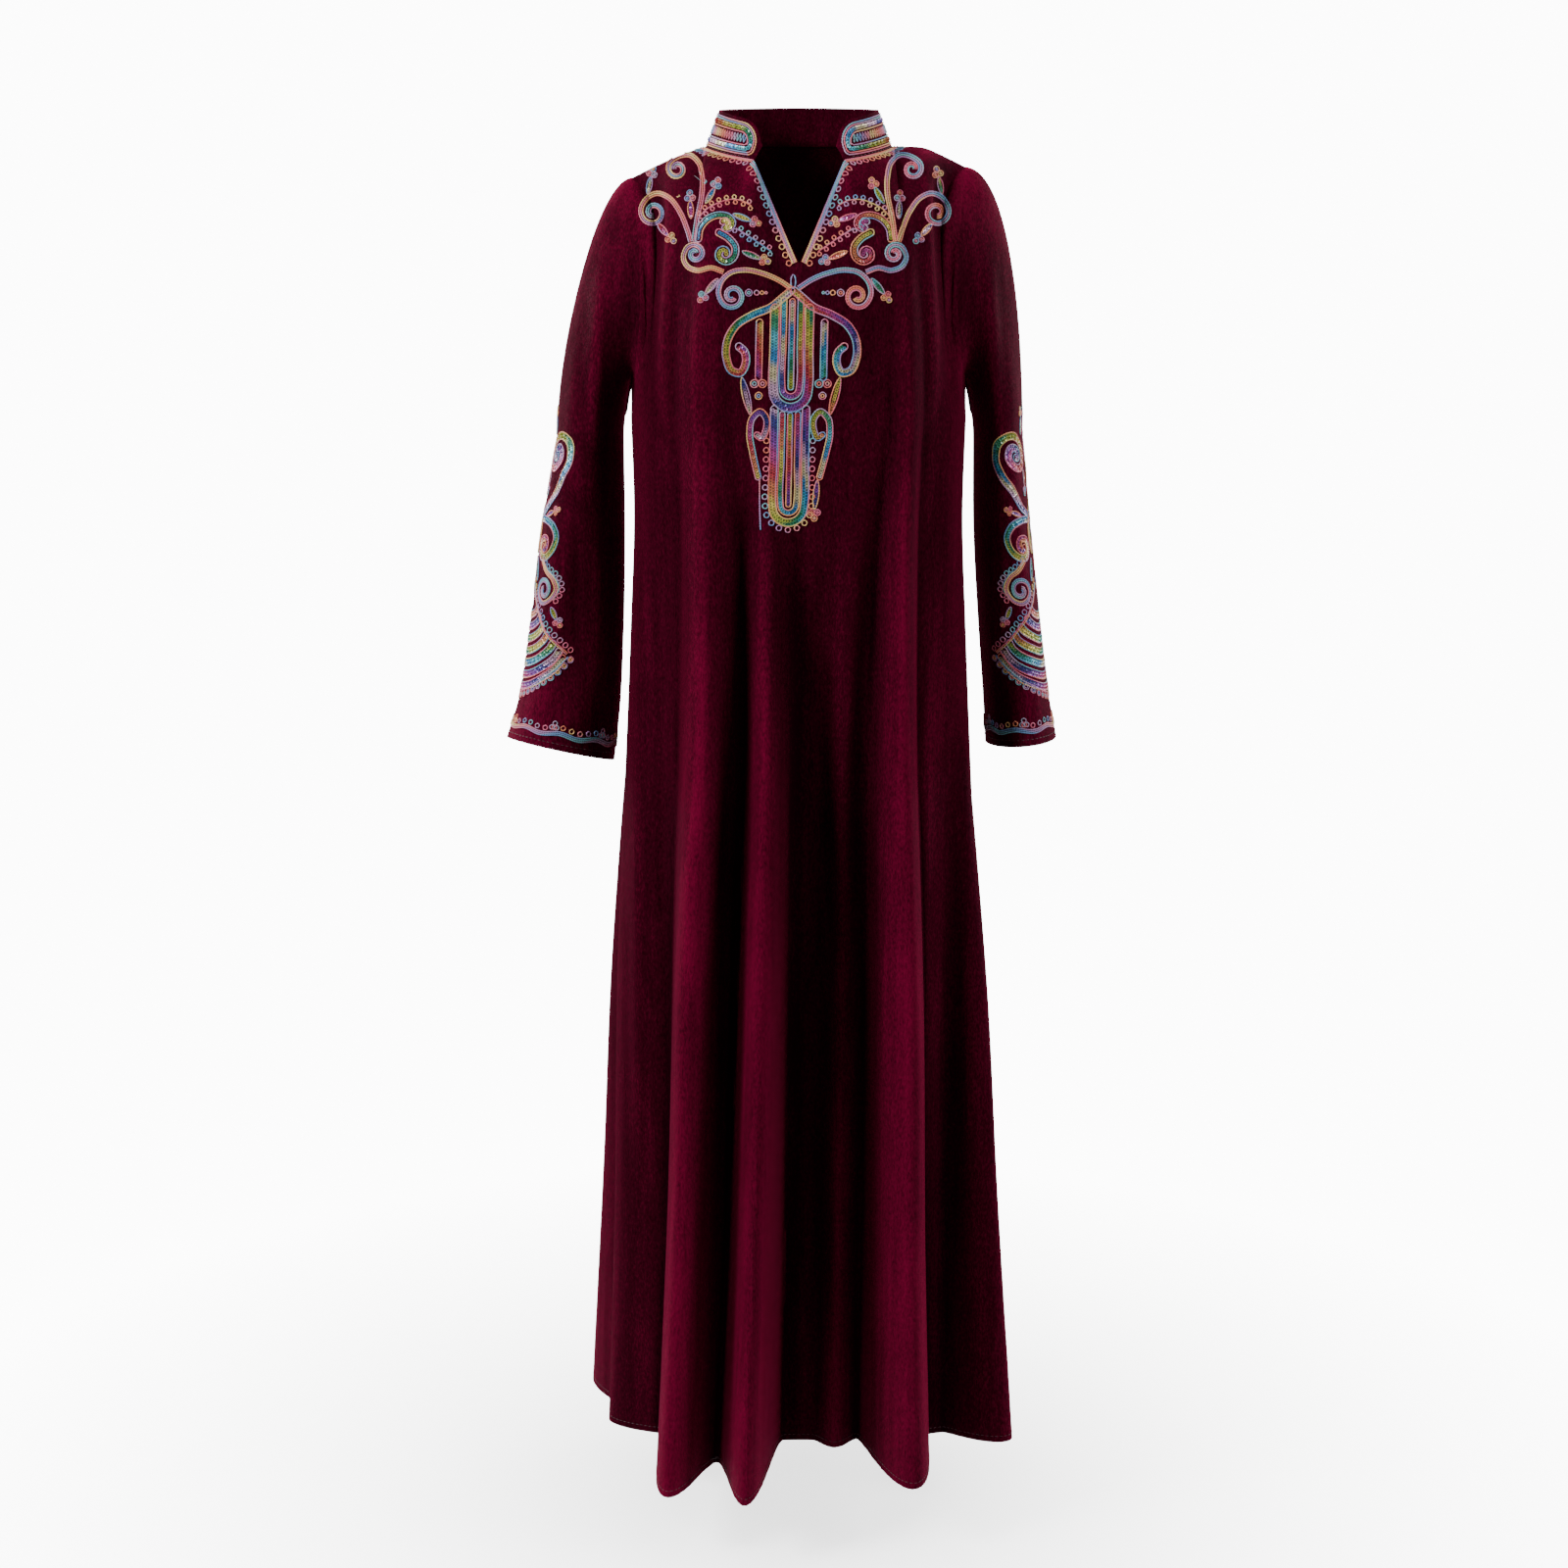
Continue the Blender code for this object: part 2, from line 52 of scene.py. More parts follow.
# %% Camera
CAMERA_PLACE = (-0.0154, -2.6, -0.2)
CAMERA_PITCH = 10.4
CAMERA_LENS = 55.35

bpy.ops.object.select_all(action="DESELECT")
turn = (math.radians(90 - CAMERA_PITCH), 0, 0)
bpy.ops.object.camera_add(location=CAMERA_PLACE, rotation=turn)
camera = bpy.context.object
camera.data.lens = CAMERA_LENS
camera.data.sensor_width = 36
bpy.context.scene.camera = camera
print("camera at", tuple(camera.location))

# %% [markdown]
# Materials are graphs of nodes. Written by hand they take many lines, so one small class wraps
# a socket: sums and products of two wrapped sockets add their Math nodes by themselves, and
# one method adds any other node.

# %% Nodes as Python expressions
class Wire:
    """A socket of a material's graph that takes part in sums and products."""

    def __init__(self, tree, socket):
        self.tree, self.socket = tree, socket

    def node(self, kind, settings=None, **sockets):
        item = self.tree.nodes.new(kind)
        for name, value in (settings or {}).items():
            if name == "stops":
                ramp = item.color_ramp
                while len(ramp.elements) < len(value):
                    ramp.elements.new(0.5)
                for stop, (place, colour) in zip(ramp.elements, value):
                    stop.position, stop.color = place, (*colour, 1.0)
            else:
                setattr(item, name, value)
        for name, value in sockets.items():
            key = int(name[1:]) if name[1:].isdigit() else name.replace("_", " ")
            if isinstance(value, Wire):
                self.tree.links.new(value.socket, item.inputs[key])
            else:
                item.inputs[key].default_value = value
        return item

    def math(self, operation, *values, reverse=False):
        values = [self, *values]
        if reverse:
            values = values[::-1]
        item = self.node("ShaderNodeMath", {"operation": operation},
                         **{f"i{i}": value for i, value in enumerate(values)})
        return Wire(self.tree, item.outputs[0])

    def out(self, item, name=0):
        return Wire(self.tree, item.outputs[name])

    def __add__(self, other):
        return self.math("ADD", other)

    def __sub__(self, other):
        return self.math("SUBTRACT", other)

    def __mul__(self, other):
        return self.math("MULTIPLY", other)

    def __rsub__(self, other):
        return self.math("SUBTRACT", other, reverse=True)

    __radd__, __rmul__ = __add__, __mul__


def new_material(name):
    material = bpy.data.materials.new(name)
    material.use_nodes = True
    tree = material.node_tree
    shader = tree.nodes["Principled BSDF"]
    return material, tree, shader


def cloth_map(tree):
    """The piece's own UV map, which is in metres on the cloth."""
    item = tree.nodes.new("ShaderNodeUVMap")
    item.uv_map = "cloth"
    return Wire(tree, item.outputs[0])


print("graph helper ready")

# %% [markdown]
# The floor is a small pale disc a hand's width under the hem. It fades out before its rim, so
# it only catches the garment's soft shadow, and white surroundings show everywhere else.

# %% Floor
FLOOR_Z = -1.50
FLOOR_RADIUS = 1.6

bpy.ops.mesh.primitive_circle_add(vertices=64, radius=FLOOR_RADIUS, fill_type="NGON",
                                  location=(0, 0, FLOOR_Z))
floor = bpy.context.object
floor.name = "floor"
bpy.ops.object.transform_apply(location=True)

material, tree, shader = new_material("pale_floor")
shader.inputs["Base Color"].default_value = (0.86, 0.86, 0.86, 1)
shader.inputs["Roughness"].default_value = 0.7
place = tree.nodes.new("ShaderNodeTexCoord")
place = Wire(tree, place.outputs["Object"])
axes = place.node("ShaderNodeSeparateXYZ", Vector=place)
across, along = place.out(axes, "X"), place.out(axes, "Y")
radius = (across * across + along * along).math("POWER", 0.5)
fade = radius.node("ShaderNodeMapRange", Value=radius, From_Min=0.15, From_Max=FLOOR_RADIUS * 0.7,
                   To_Min=0.8, To_Max=0.0)
tree.links.new(fade.outputs[0], shader.inputs["Alpha"])
floor.data.materials.append(material)
print("floor at", FLOOR_Z)

# %% [markdown]
# Velvet is only readable in soft light from the side: its pile is dark seen along the hairs
# and bright seen across them. A lamp stands far out on each side, so the folds' flanks light up
# and their floors stay dark. A weak one in front shows the sequins, two behind draw the edges,
# and the surroundings look white but give little light.

# %% Light
LAMPS = (
    # name,        place,               size, watts
    ("key",        (-2.4, -1.4, 1.1),   0.9, 190.0),
    ("fill",       (2.5, -1.2, 0.7),    1.0,  84.0),
    ("front",      (0.5, -2.9, 1.0),    1.4,  13.0),
    ("rim_right",  (-2.0, 1.3, 0.2),    1.2,  45.0),
    ("rim_left",   (2.0, 1.3, 0.2),     1.2,  45.0),
)
AIM = Vector((0, 0, -0.6))

for name, where, size, watts in LAMPS:
    bpy.ops.object.light_add(type="AREA", location=where)
    lamp = bpy.context.object
    lamp.name = name
    lamp.data.size = size
    lamp.data.energy = watts
    lamp.rotation_euler = (Vector(where) - AIM).to_track_quat("Z", "Y").to_euler()

world = bpy.data.worlds.new("studio")
bpy.context.scene.world = world
world.use_nodes = True
sky = world.node_tree
surround = sky.nodes["Background"]
surround.inputs["Color"].default_value = (1, 1, 1, 1)
path = Wire(sky, sky.nodes.new("ShaderNodeLightPath").outputs["Is Camera Ray"])
SURROUND_SEEN, SURROUND_LIGHT = 12.0, 0.17
strength = path * (SURROUND_SEEN - SURROUND_LIGHT) + SURROUND_LIGHT
sky.links.new(strength.socket, surround.inputs["Strength"])
print("lamps:", [row[0] for row in LAMPS])

# %% [markdown]
# The cloth's form is worked out from the cutter's tables: body rings from the chest to the
# hem, and the folds that hang from the chest and grow on their way down. The tables are the
# ones that the solids were lofted from, so the finer cloth lies on them without any fitting.

# %% Tables of the cut
LENGTH = 1.42
WALL = 0.0016
COLLAR_WALL = 0.0022
SIDE_LEAN = 0.65
SHOULDER_LIFT = 0.011
BUST_Z = -0.28
FOLD_TOP_Z = -0.30
SHOULDER_TIP = (0.174, -0.031)
NECK_HALF_WIDTH = 0.098
NECK_FRONT_DEPTH = 0.088
NECK_BACK_DEPTH = 0.060
NECK_FRONT_DROP = 0.018
NECK_BACK_RISE = 0.006
NECK_END_ANGLE = math.radians(152)
SLIT_FOOT = (0.0, -0.113, -0.123)
COLLAR_HEIGHT = 0.037
COLLAR_LEAN = 0.014
COLLAR_END_ROUND = 0.024

RINGS = (
    # z,     half width, front depth, back depth, roundness
    (-0.28,  0.178,      0.119,       0.110,      0.80),
    (-0.38,  0.176,      0.116,       0.104,      0.86),
    (-0.50,  0.181,      0.109,       0.098,      0.94),
    (-0.64,  0.188,      0.102,       0.098,      1.00),
    (-0.75,  0.194,      0.096,       0.099,      1.00),
    (-0.90,  0.201,      0.087,       0.100,      1.00),
    (-1.13,  0.206,      0.072,       0.102,      1.00),
    (-1.42,  0.217,      0.056,       0.106,      1.00),
)
FOLDS = (
    # start z, angle top, angle hem, half top, half hem, depth, flare
    (-0.17,   61.0,      57.5,      14.0,     11.8,     0.149, 0.06),
    (-0.40,   71.0,      67.0,       5.0,      5.0,     0.034, 0.00),
    (-0.36,   81.5,      75.5,       9.0,     10.4,     0.159, 0.06),
    (-0.30,  106.0,     101.0,       6.5,      7.0,     0.020, 0.05),
    (-0.16,  124.0,     120.0,       9.0,     12.5,     0.128, 0.10),
    (-0.60,  162.0,     155.0,      13.0,     16.0,     0.054, 0.10),
    (-0.34,  213.0,     211.0,      13.0,     15.0,     0.060, 0.10),
    (-0.26,  243.0,     241.0,      11.0,     13.0,     0.082, 0.10),
    (-0.42,  271.0,     269.0,      10.0,     12.5,     0.070, 0.10),
    (-0.24,  298.0,     298.0,      11.0,     13.5,     0.088, 0.10),
    (-0.32,  333.0,     327.0,      14.0,     15.0,     0.090, 0.08),
)
ARMHOLE = (
    # share, x,     front y, back y, z
    (0.00,  0.178,   0.000,  0.000, -0.250),
    (0.18,  0.172,  -0.038,  0.032, -0.232),
    (0.42,  0.165,  -0.054,  0.045, -0.172),
    (0.68,  0.166,  -0.049,  0.042, -0.102),
    (0.86,  0.171,  -0.029,  0.026, -0.054),
    (0.95,  0.174,  -0.011,  0.011, -0.035),
    (1.00,  0.174,   0.000,  0.000, -0.031),
)
STRETCHES = {
    # a half panel's top edge: stretch, end angle, columns
    "front": (("armhole", 30.0, 33), ("shoulder", 56.0, 27), ("neck", 75.0, 24),
              ("slit", 90.0, 18)),
    "back": (("armhole", 30.0, 33), ("shoulder", 56.0, 24), ("back neck", 90.0, 24)),
}
FALL = {
    # angle, across, forward, down, pull
    "front": (
        (0.0, 0.00, 0.10, 1.00, 0.60), (15.0, 0.35, 0.30, 0.90, 0.80),
        (24.0, 0.36, 0.40, 0.85, 0.85), (30.0, 0.62, 0.85, 0.40, 1.05),
        (42.0, 0.10, 1.00, 0.25, 1.15), (56.0, 0.00, 1.00, 0.22, 1.15),
        (75.0, 0.00, 0.70, 0.72, 1.00), (90.0, 0.00, 0.22, 0.98, 1.00),
    ),
    "back": (
        (0.0, 0.00, 0.10, 1.00, 0.60), (15.0, 0.30, 0.20, 0.95, 0.75),
        (24.0, 0.36, 0.32, 0.90, 0.80), (30.0, 0.62, 0.85, 0.40, 1.00),
        (42.0, 0.10, 1.00, 0.25, 1.05), (56.0, 0.00, 1.00, 0.22, 1.05),
        (72.0, 0.00, 0.85, 0.50, 1.00), (90.0, 0.00, 0.80, 0.60, 1.00),
    ),
}
SLEEVE_RINGS = {
    "sleeve_right": (
        # z,    outer x, inner x, middle y, half depth, inner drop, back drop
        (-0.300, 0.258,   0.187,   0.006,    0.060,      0.000,      0.000),
        (-0.400, 0.277,   0.187,   0.008,    0.059,      0.002,      0.002),
        (-0.500, 0.291,   0.190,   0.010,    0.060,      0.008,      0.006),
        (-0.580, 0.306,   0.196,   0.012,    0.062,      0.018,      0.012),
        (-0.618, 0.319,   0.202,   0.012,    0.064,      0.026,      0.016),
    ),
    "sleeve_left": (
        (-0.300, 0.240,   0.188,   0.014,    0.062,      0.000,      0.000),
        (-0.400, 0.251,   0.190,   0.018,    0.064,      0.000,      0.000),
        (-0.500, 0.263,   0.197,   0.022,    0.067,      0.002,      0.000),
        (-0.580, 0.275,   0.204,   0.024,    0.070,      0.006,      0.002),
        (-0.624, 0.284,   0.207,   0.026,    0.072,      0.008,      0.004),
    ),
}
CAP_PULL_LOW = 0.050
CAP_PULL_HIGH = {"sleeve_right": 0.118, "sleeve_left": 0.160}
NECK_SLOPES = ((0.0, 0.55), (90.0, 0.25), (152.0, 0.85))
print("tables:", len(RINGS), "rings and", len(FOLDS), "folds")

# %% [markdown]
# A table gives a value at a few heights. Between them the cloth runs on a smooth curve, so a
# cubic is laid through each column. The body's surface then takes an angle round the wearer
# and a height, and adds each fold as a rounded pipe.

# %% The body's surface
def smooth(table, where, column):
    at = np.array([row[0] for row in table], float)
    value = np.array([row[column] for row in table], float)
    if at[0] > at[-1]:
        at, value = at[::-1], value[::-1]
    slope = np.gradient(value, at)
    where = np.clip(where, at[0], at[-1])
    i = np.clip(np.searchsorted(at, where) - 1, 0, len(at) - 2)
    span = at[i + 1] - at[i]
    t = (where - at[i]) / span
    start = (1 + 2 * t) * (1 - t) ** 2 * value[i] + t * (1 - t) ** 2 * span * slope[i]
    end = t * t * (3 - 2 * t) * value[i + 1] - t * t * (1 - t) * span * slope[i + 1]
    return start + end


def unit(vectors):
    length = np.linalg.norm(vectors, axis=-1, keepdims=True)
    return vectors / np.maximum(length, 1e-12)


def body_point(angle, z):
    """Angle 0 is the wearer's right side seam, 90 the front, 180 the left side, 270 the back."""
    angle, z = np.broadcast_arrays(np.asarray(angle, float), np.asarray(z, float))
    turn = np.radians(angle)
    half = smooth(RINGS, z, 1)
    depth = np.where(np.sin(turn) >= 0, smooth(RINGS, z, 2), smooth(RINGS, z, 3))
    power = smooth(RINGS, z, 4)
    x = -half * np.sign(np.cos(turn)) * np.abs(np.cos(turn)) ** power
    y = -depth * np.sign(np.sin(turn)) * np.abs(np.sin(turn)) ** power
    point = np.stack([x, y, z], -1)
    along = np.stack([half * np.sin(turn), -depth * np.cos(turn), 0 * z], -1)
    metres_per_degree = np.linalg.norm(along, axis=-1) * math.pi / 180
    along = unit(along)
    sideways = SIDE_LEAN * np.cos(turn) * np.abs(np.cos(turn)) ** 1.5
    out = unit(np.stack([-sideways, -np.sin(turn), 0 * z], -1))
    fall = np.clip((FOLD_TOP_Z - z) / (LENGTH + FOLD_TOP_Z), 0, 1)
    for start, top, hem, half_top, half_hem, fold_depth, flare in FOLDS:
        grown = np.clip((start - z) / (LENGTH + start), 0, 1) ** 0.9
        middle = top + (hem - top) * fall
        width = half_top + (half_hem - half_top) * fall
        away = (angle - middle + 180) % 360 - 180
        q = np.clip(away / width, -1, 1)
        rise = fold_depth * grown * np.cos(math.pi * q / 2) ** 2
        spread = flare * width * metres_per_degree * np.sqrt(grown) * np.sin(math.pi * q)
        point = point + out * rise[..., None] + along * spread[..., None]
    return point


print("hem, middle of the front:", body_point(90.0, -LENGTH).round(3))

# %% [markdown]
# The panels start at armholes, shoulders, the neck seam and the V slit. Each stretch of that
# top edge is a short formula of its own. A cubic then carries the cloth from the edge over the
# chest to the first body ring.

# %% The top edges
def neck_point(turn):
    turn = np.asarray(turn, float)
    front = np.cos(turn) < 0
    depth = np.where(front, NECK_FRONT_DEPTH, NECK_BACK_DEPTH)
    share = np.clip(-np.cos(turn) / -math.cos(NECK_END_ANGLE), 0, 1)
    z = np.where(front, -NECK_FRONT_DROP * share ** 1.5, NECK_BACK_RISE * np.cos(turn))
    return np.stack([NECK_HALF_WIDTH * np.sin(turn), depth * np.cos(turn), z], -1)


def lift_left(points):
    share = np.clip((points[..., 0] - NECK_HALF_WIDTH + 0.005) / 0.045, 0, 1)
    fade = np.clip((points[..., 2] - BUST_Z) / (SHOULDER_TIP[1] - BUST_Z), 0, 1)
    lifted = points.copy()
    lifted[..., 2] += SHOULDER_LIFT * share * share * (3 - 2 * share) * fade
    return lifted


def top_edge(stretch, share, side):
    if stretch == "armhole":
        y_column = 2 if side == "front" else 3
        columns = [smooth(ARMHOLE, share, c) for c in (1, y_column, 4)]
        return np.stack([-columns[0], columns[1], columns[2]], -1)
    if stretch == "shoulder":
        x = SHOULDER_TIP[0] + (NECK_HALF_WIDTH - SHOULDER_TIP[0]) * share
        z = SHOULDER_TIP[1] * (1 - share) ** 1.25
        return np.stack([-x, 0 * x, z], -1)
    if stretch == "neck":
        return neck_point(-math.pi / 2 - share * (NECK_END_ANGLE - math.pi / 2))
    if stretch == "back neck":
        return neck_point(-math.pi / 2 * (1 - share))
    start = neck_point(-NECK_END_ANGLE)
    return start + (np.array(SLIT_FOOT) - start) * share[..., None]


def column_plan(side):
    """Angles and top points of a panel's columns, closer together where folds take cloth."""
    angles, tops = [], []
    begin = 0.0
    for stretch, end, count in STRETCHES[side]:
        fine = np.linspace(begin, end, 481)
        ways = (360 - fine, 180 + fine) if side == "back" else (fine, 180 - fine)
        step = sum(np.linalg.norm(np.diff(body_point(way, -LENGTH), axis=0), axis=1)
                   for way in ways)
        grown = np.concatenate([[0], np.cumsum(step + step.mean())])
        share = np.interp(np.linspace(0, grown[-1], count + 1), grown, np.linspace(0, 1, 481))
        points = top_edge(stretch, share ** 1.5 if stretch == "armhole" else share, side)
        first = 0 if not angles else 1
        angles += list((begin + (end - begin) * share)[first:])
        tops += list(points[first:])
        begin = end
    angles, tops = np.array(angles), np.array(tops)
    mirrored = tops[:-1][::-1] * np.array([-1, 1, 1])
    all_angles = np.concatenate([angles, 180 - angles[:-1][::-1]])
    return all_angles, lift_left(np.concatenate([tops, mirrored]))


UPPER_ROWS, LOWER_ROWS = 26, 70


def panel_rows(side):
    """A panel's outer surface as rows by columns by xyz."""
    angles, tops = column_plan(side)
    sign = -1.0 if side == "front" else 1.0
    ring_angle = angles if side == "front" else (360 - angles) % 360
    mirror_angle = np.minimum(angles, 180 - angles)
    across, forward, down, pull = (smooth(FALL[side], mirror_angle, c) for c in (1, 2, 3, 4))
    leave = unit(np.stack([across * np.sign(90 - angles), forward * sign, -down], -1))
    chest = body_point(ring_angle, BUST_Z)
    reach = np.linalg.norm(chest - tops, axis=1)
    tangent_top = leave * (reach * pull)[:, None]
    tangent_chest = np.stack([0 * reach, 0 * reach, -reach], -1)
    rows = []
    for t in np.linspace(0, 1, UPPER_ROWS + 1):
        h00, h10 = (1 + 2 * t) * (1 - t) ** 2, t * (1 - t) ** 2
        h01, h11 = t * t * (3 - 2 * t), -t * t * (1 - t)
        rows.append(h00 * tops + h10 * tangent_top + h01 * chest + h11 * tangent_chest)
    for share in np.linspace(0, 1, LOWER_ROWS + 1)[1:]:
        rows.append(body_point(ring_angle, BUST_Z + (-LENGTH - BUST_Z) * share ** 1.12))
    return np.array(rows)


grids = {side: panel_rows(side) for side in ("front", "back")}
print("panels of", {side: grid.shape[:2] for side, grid in grids.items()}, "points")

# %% [markdown]
# The sleeves grow out of the armholes that the panels leave, and the collar out of the neck
# seam, so their first rings are read from the panels' own top edges.

# %% Rings of the sleeves and the collar
def even_tangents(grid, axis, closed=False):
    if closed:
        step = unit(np.roll(grid, -1, axis=axis) - grid)
        return step + np.roll(step, 1, axis=axis)
    step = unit(np.diff(grid, axis=axis))
    first = np.take(step, [0], axis=axis)
    last = np.take(step, [-1], axis=axis)
    return np.concatenate([first, step], axis=axis) + np.concatenate([step, last], axis=axis)


def grid_normals(grid, closed=False):
    return unit(np.cross(even_tangents(grid, 1, closed), even_tangents(grid, 0)))


def seam_columns():
    hole, shoulder, neck = (row[2] for row in STRETCHES["front"][:3])
    back_shoulder = STRETCHES["back"][1][2]
    front_last, back_last = grids["front"].shape[1] - 1, grids["back"].shape[1] - 1
    right = [("front", c) for c in range(hole, -1, -1)]
    right += [("back", c) for c in range(1, hole)]
    left = [("front", c) for c in range(front_last - hole, front_last + 1)]
    left += [("back", c) for c in range(back_last - 1, back_last - hole, -1)]
    first, back_first = hole + shoulder, hole + back_shoulder
    collar = [("front", c) for c in range(first + neck, first - 1, -1)]
    collar += [("back", c) for c in range(back_first + 1, back_last - back_first)]
    collar += [("front", c) for c in range(front_last - first, front_last - first - neck - 1, -1)]
    return right, left, collar


normals = {}
for side, grid in grids.items():
    normal = grid_normals(grid)
    facing = 1.0 if side == "back" else -1.0
    normals[side] = normal if (normal[:, :, 1] * facing).mean() > 0 else -normal


def seam_normals(points, rough, closed):
    if closed:
        for _ in range(6):
            rough = unit(np.roll(rough, 1, axis=0) + 2 * rough + np.roll(rough, -1, axis=0))
        along = unit(np.roll(points, -1, axis=0) - np.roll(points, 1, axis=0))
    else:
        along = unit(np.gradient(points, axis=0))
    return unit(rough - (rough * along).sum(axis=1, keepdims=True) * along)


def neck_normals(points):
    along = unit(np.gradient(points, axis=0))
    out = unit(np.cross(along, np.array([0, 0, 1.0])) * np.array([1, 1, 0]))
    if (out * points).sum() < 0:
        out = -out
    turn = np.abs(np.linspace(-1, 1, len(points))) * NECK_SLOPES[-1][0]
    return unit(out * smooth(NECK_SLOPES, turn, 1)[:, None] + np.array([0, 0, 1.0]))


SLEEVE_CAP_ROWS, SLEEVE_LOW_ROWS = 30, 42


def sleeve_grid(name, ring, normal):
    side = -1.0 if name == "sleeve_right" else 1.0
    away = unit(np.cross(np.roll(ring, -1, axis=0) - np.roll(ring, 1, axis=0), normal))
    if away[:, 0].sum() * side < 0:
        away = -away
    length = np.concatenate([[0], np.cumsum(np.linalg.norm(
        np.diff(np.vstack([ring, ring[:1]]), axis=0), axis=1))])
    turn = 2 * math.pi * length[:-1] / length[-1]
    table = SLEEVE_RINGS[name]

    def ring_at(z):
        outer, inner, middle, deep, inner_drop, back_drop = (
            smooth(table, z, c) for c in range(1, 7))
        x = (outer + inner) / 2 + (outer - inner) / 2 * np.cos(turn)
        drop = inner_drop * (1 - np.cos(turn)) / 2 + back_drop * (1 - np.sin(turn)) / 2
        return np.stack([side * x, middle - deep * np.sin(turn), z - drop], -1)

    first = ring_at(table[0][0])
    pull = CAP_PULL_LOW + (CAP_PULL_HIGH[name] - CAP_PULL_LOW) * ((1 + np.cos(turn)) / 2) ** 1.5
    reach = np.linalg.norm(first - ring, axis=1)
    tangent_start = away * pull[:, None]
    tangent_end = np.stack([0 * reach, 0 * reach, -reach], -1) * 0.9
    rows = []
    for share in np.linspace(0, 1, SLEEVE_CAP_ROWS + 1):
        t = share ** 1.3
        h00, h10 = (1 + 2 * t) * (1 - t) ** 2, t * (1 - t) ** 2
        h01, h11 = t * t * (3 - 2 * t), -t * t * (1 - t)
        rows.append(h00 * ring + h10 * tangent_start + h01 * first + h11 * tangent_end)
    for share in np.linspace(0, 1, SLEEVE_LOW_ROWS + 1)[1:]:
        rows.append(ring_at(table[0][0] + (table[-1][0] - table[0][0]) * share))
    return np.array(rows)


COLLAR_ROWS = 12


def collar_grid(seam, normal):
    along = unit(np.gradient(seam, axis=0))
    away = unit(np.cross(along, normal))
    centre = np.array([0.0, -0.01, 0.0])
    if (away * (centre - seam)).sum() < 0:
        away = -away
    length = np.concatenate([[0], np.cumsum(np.linalg.norm(np.diff(seam, axis=0), axis=1))])
    from_end = np.minimum(length, length[-1] - length)
    corner = np.clip(1 - from_end / COLLAR_END_ROUND, 0, 1)
    height = COLLAR_HEIGHT - COLLAR_END_ROUND * (1 - np.sqrt(np.clip(1 - corner ** 2, 0, 1)))
    height = np.maximum(height, 0.35 * COLLAR_HEIGHT)
    inward = unit((centre - seam) * np.array([1, 1, 0]))
    rows = [seam]
    for share in np.linspace(0.04, 1, COLLAR_ROWS):
        up = np.stack([0 * height, 0 * height, height * share], -1)
        rows.append(seam + away * 0.0012 + inward * COLLAR_LEAN * share + up)
    return np.array(rows)


right, left, neck = seam_columns()
for name, pairs in (("sleeve_right", right), ("sleeve_left", left), ("collar", neck)):
    points = np.array([grids[panel][0, c] for panel, c in pairs])
    if name == "collar":
        grids[name] = collar_grid(points, seam_normals(points, neck_normals(points), False))
    else:
        rough = np.array([normals[panel][0, c] for panel, c in pairs])
        rough[0] = unit(normals["front"][0, right[0][1]] + normals["back"][0, right[0][1]])
        rough[0, 0] = abs(rough[0, 0]) * np.sign(points[0, 0])
        grids[name] = sleeve_grid(name, points, seam_normals(points, rough, True))
print("rings:", {name: grid.shape[:2] for name, grid in grids.items()})

# %% [markdown]
# The big folds come with the solids. Soft creases of a few millimetres lie between them: long
# valleys and ridges down the skirt, short ones that pull from the armholes, and slanting ones
# at the elbows. Each is a line from one place to another with a width and a rise. They fade
# out before the seams, so the pieces still meet there.

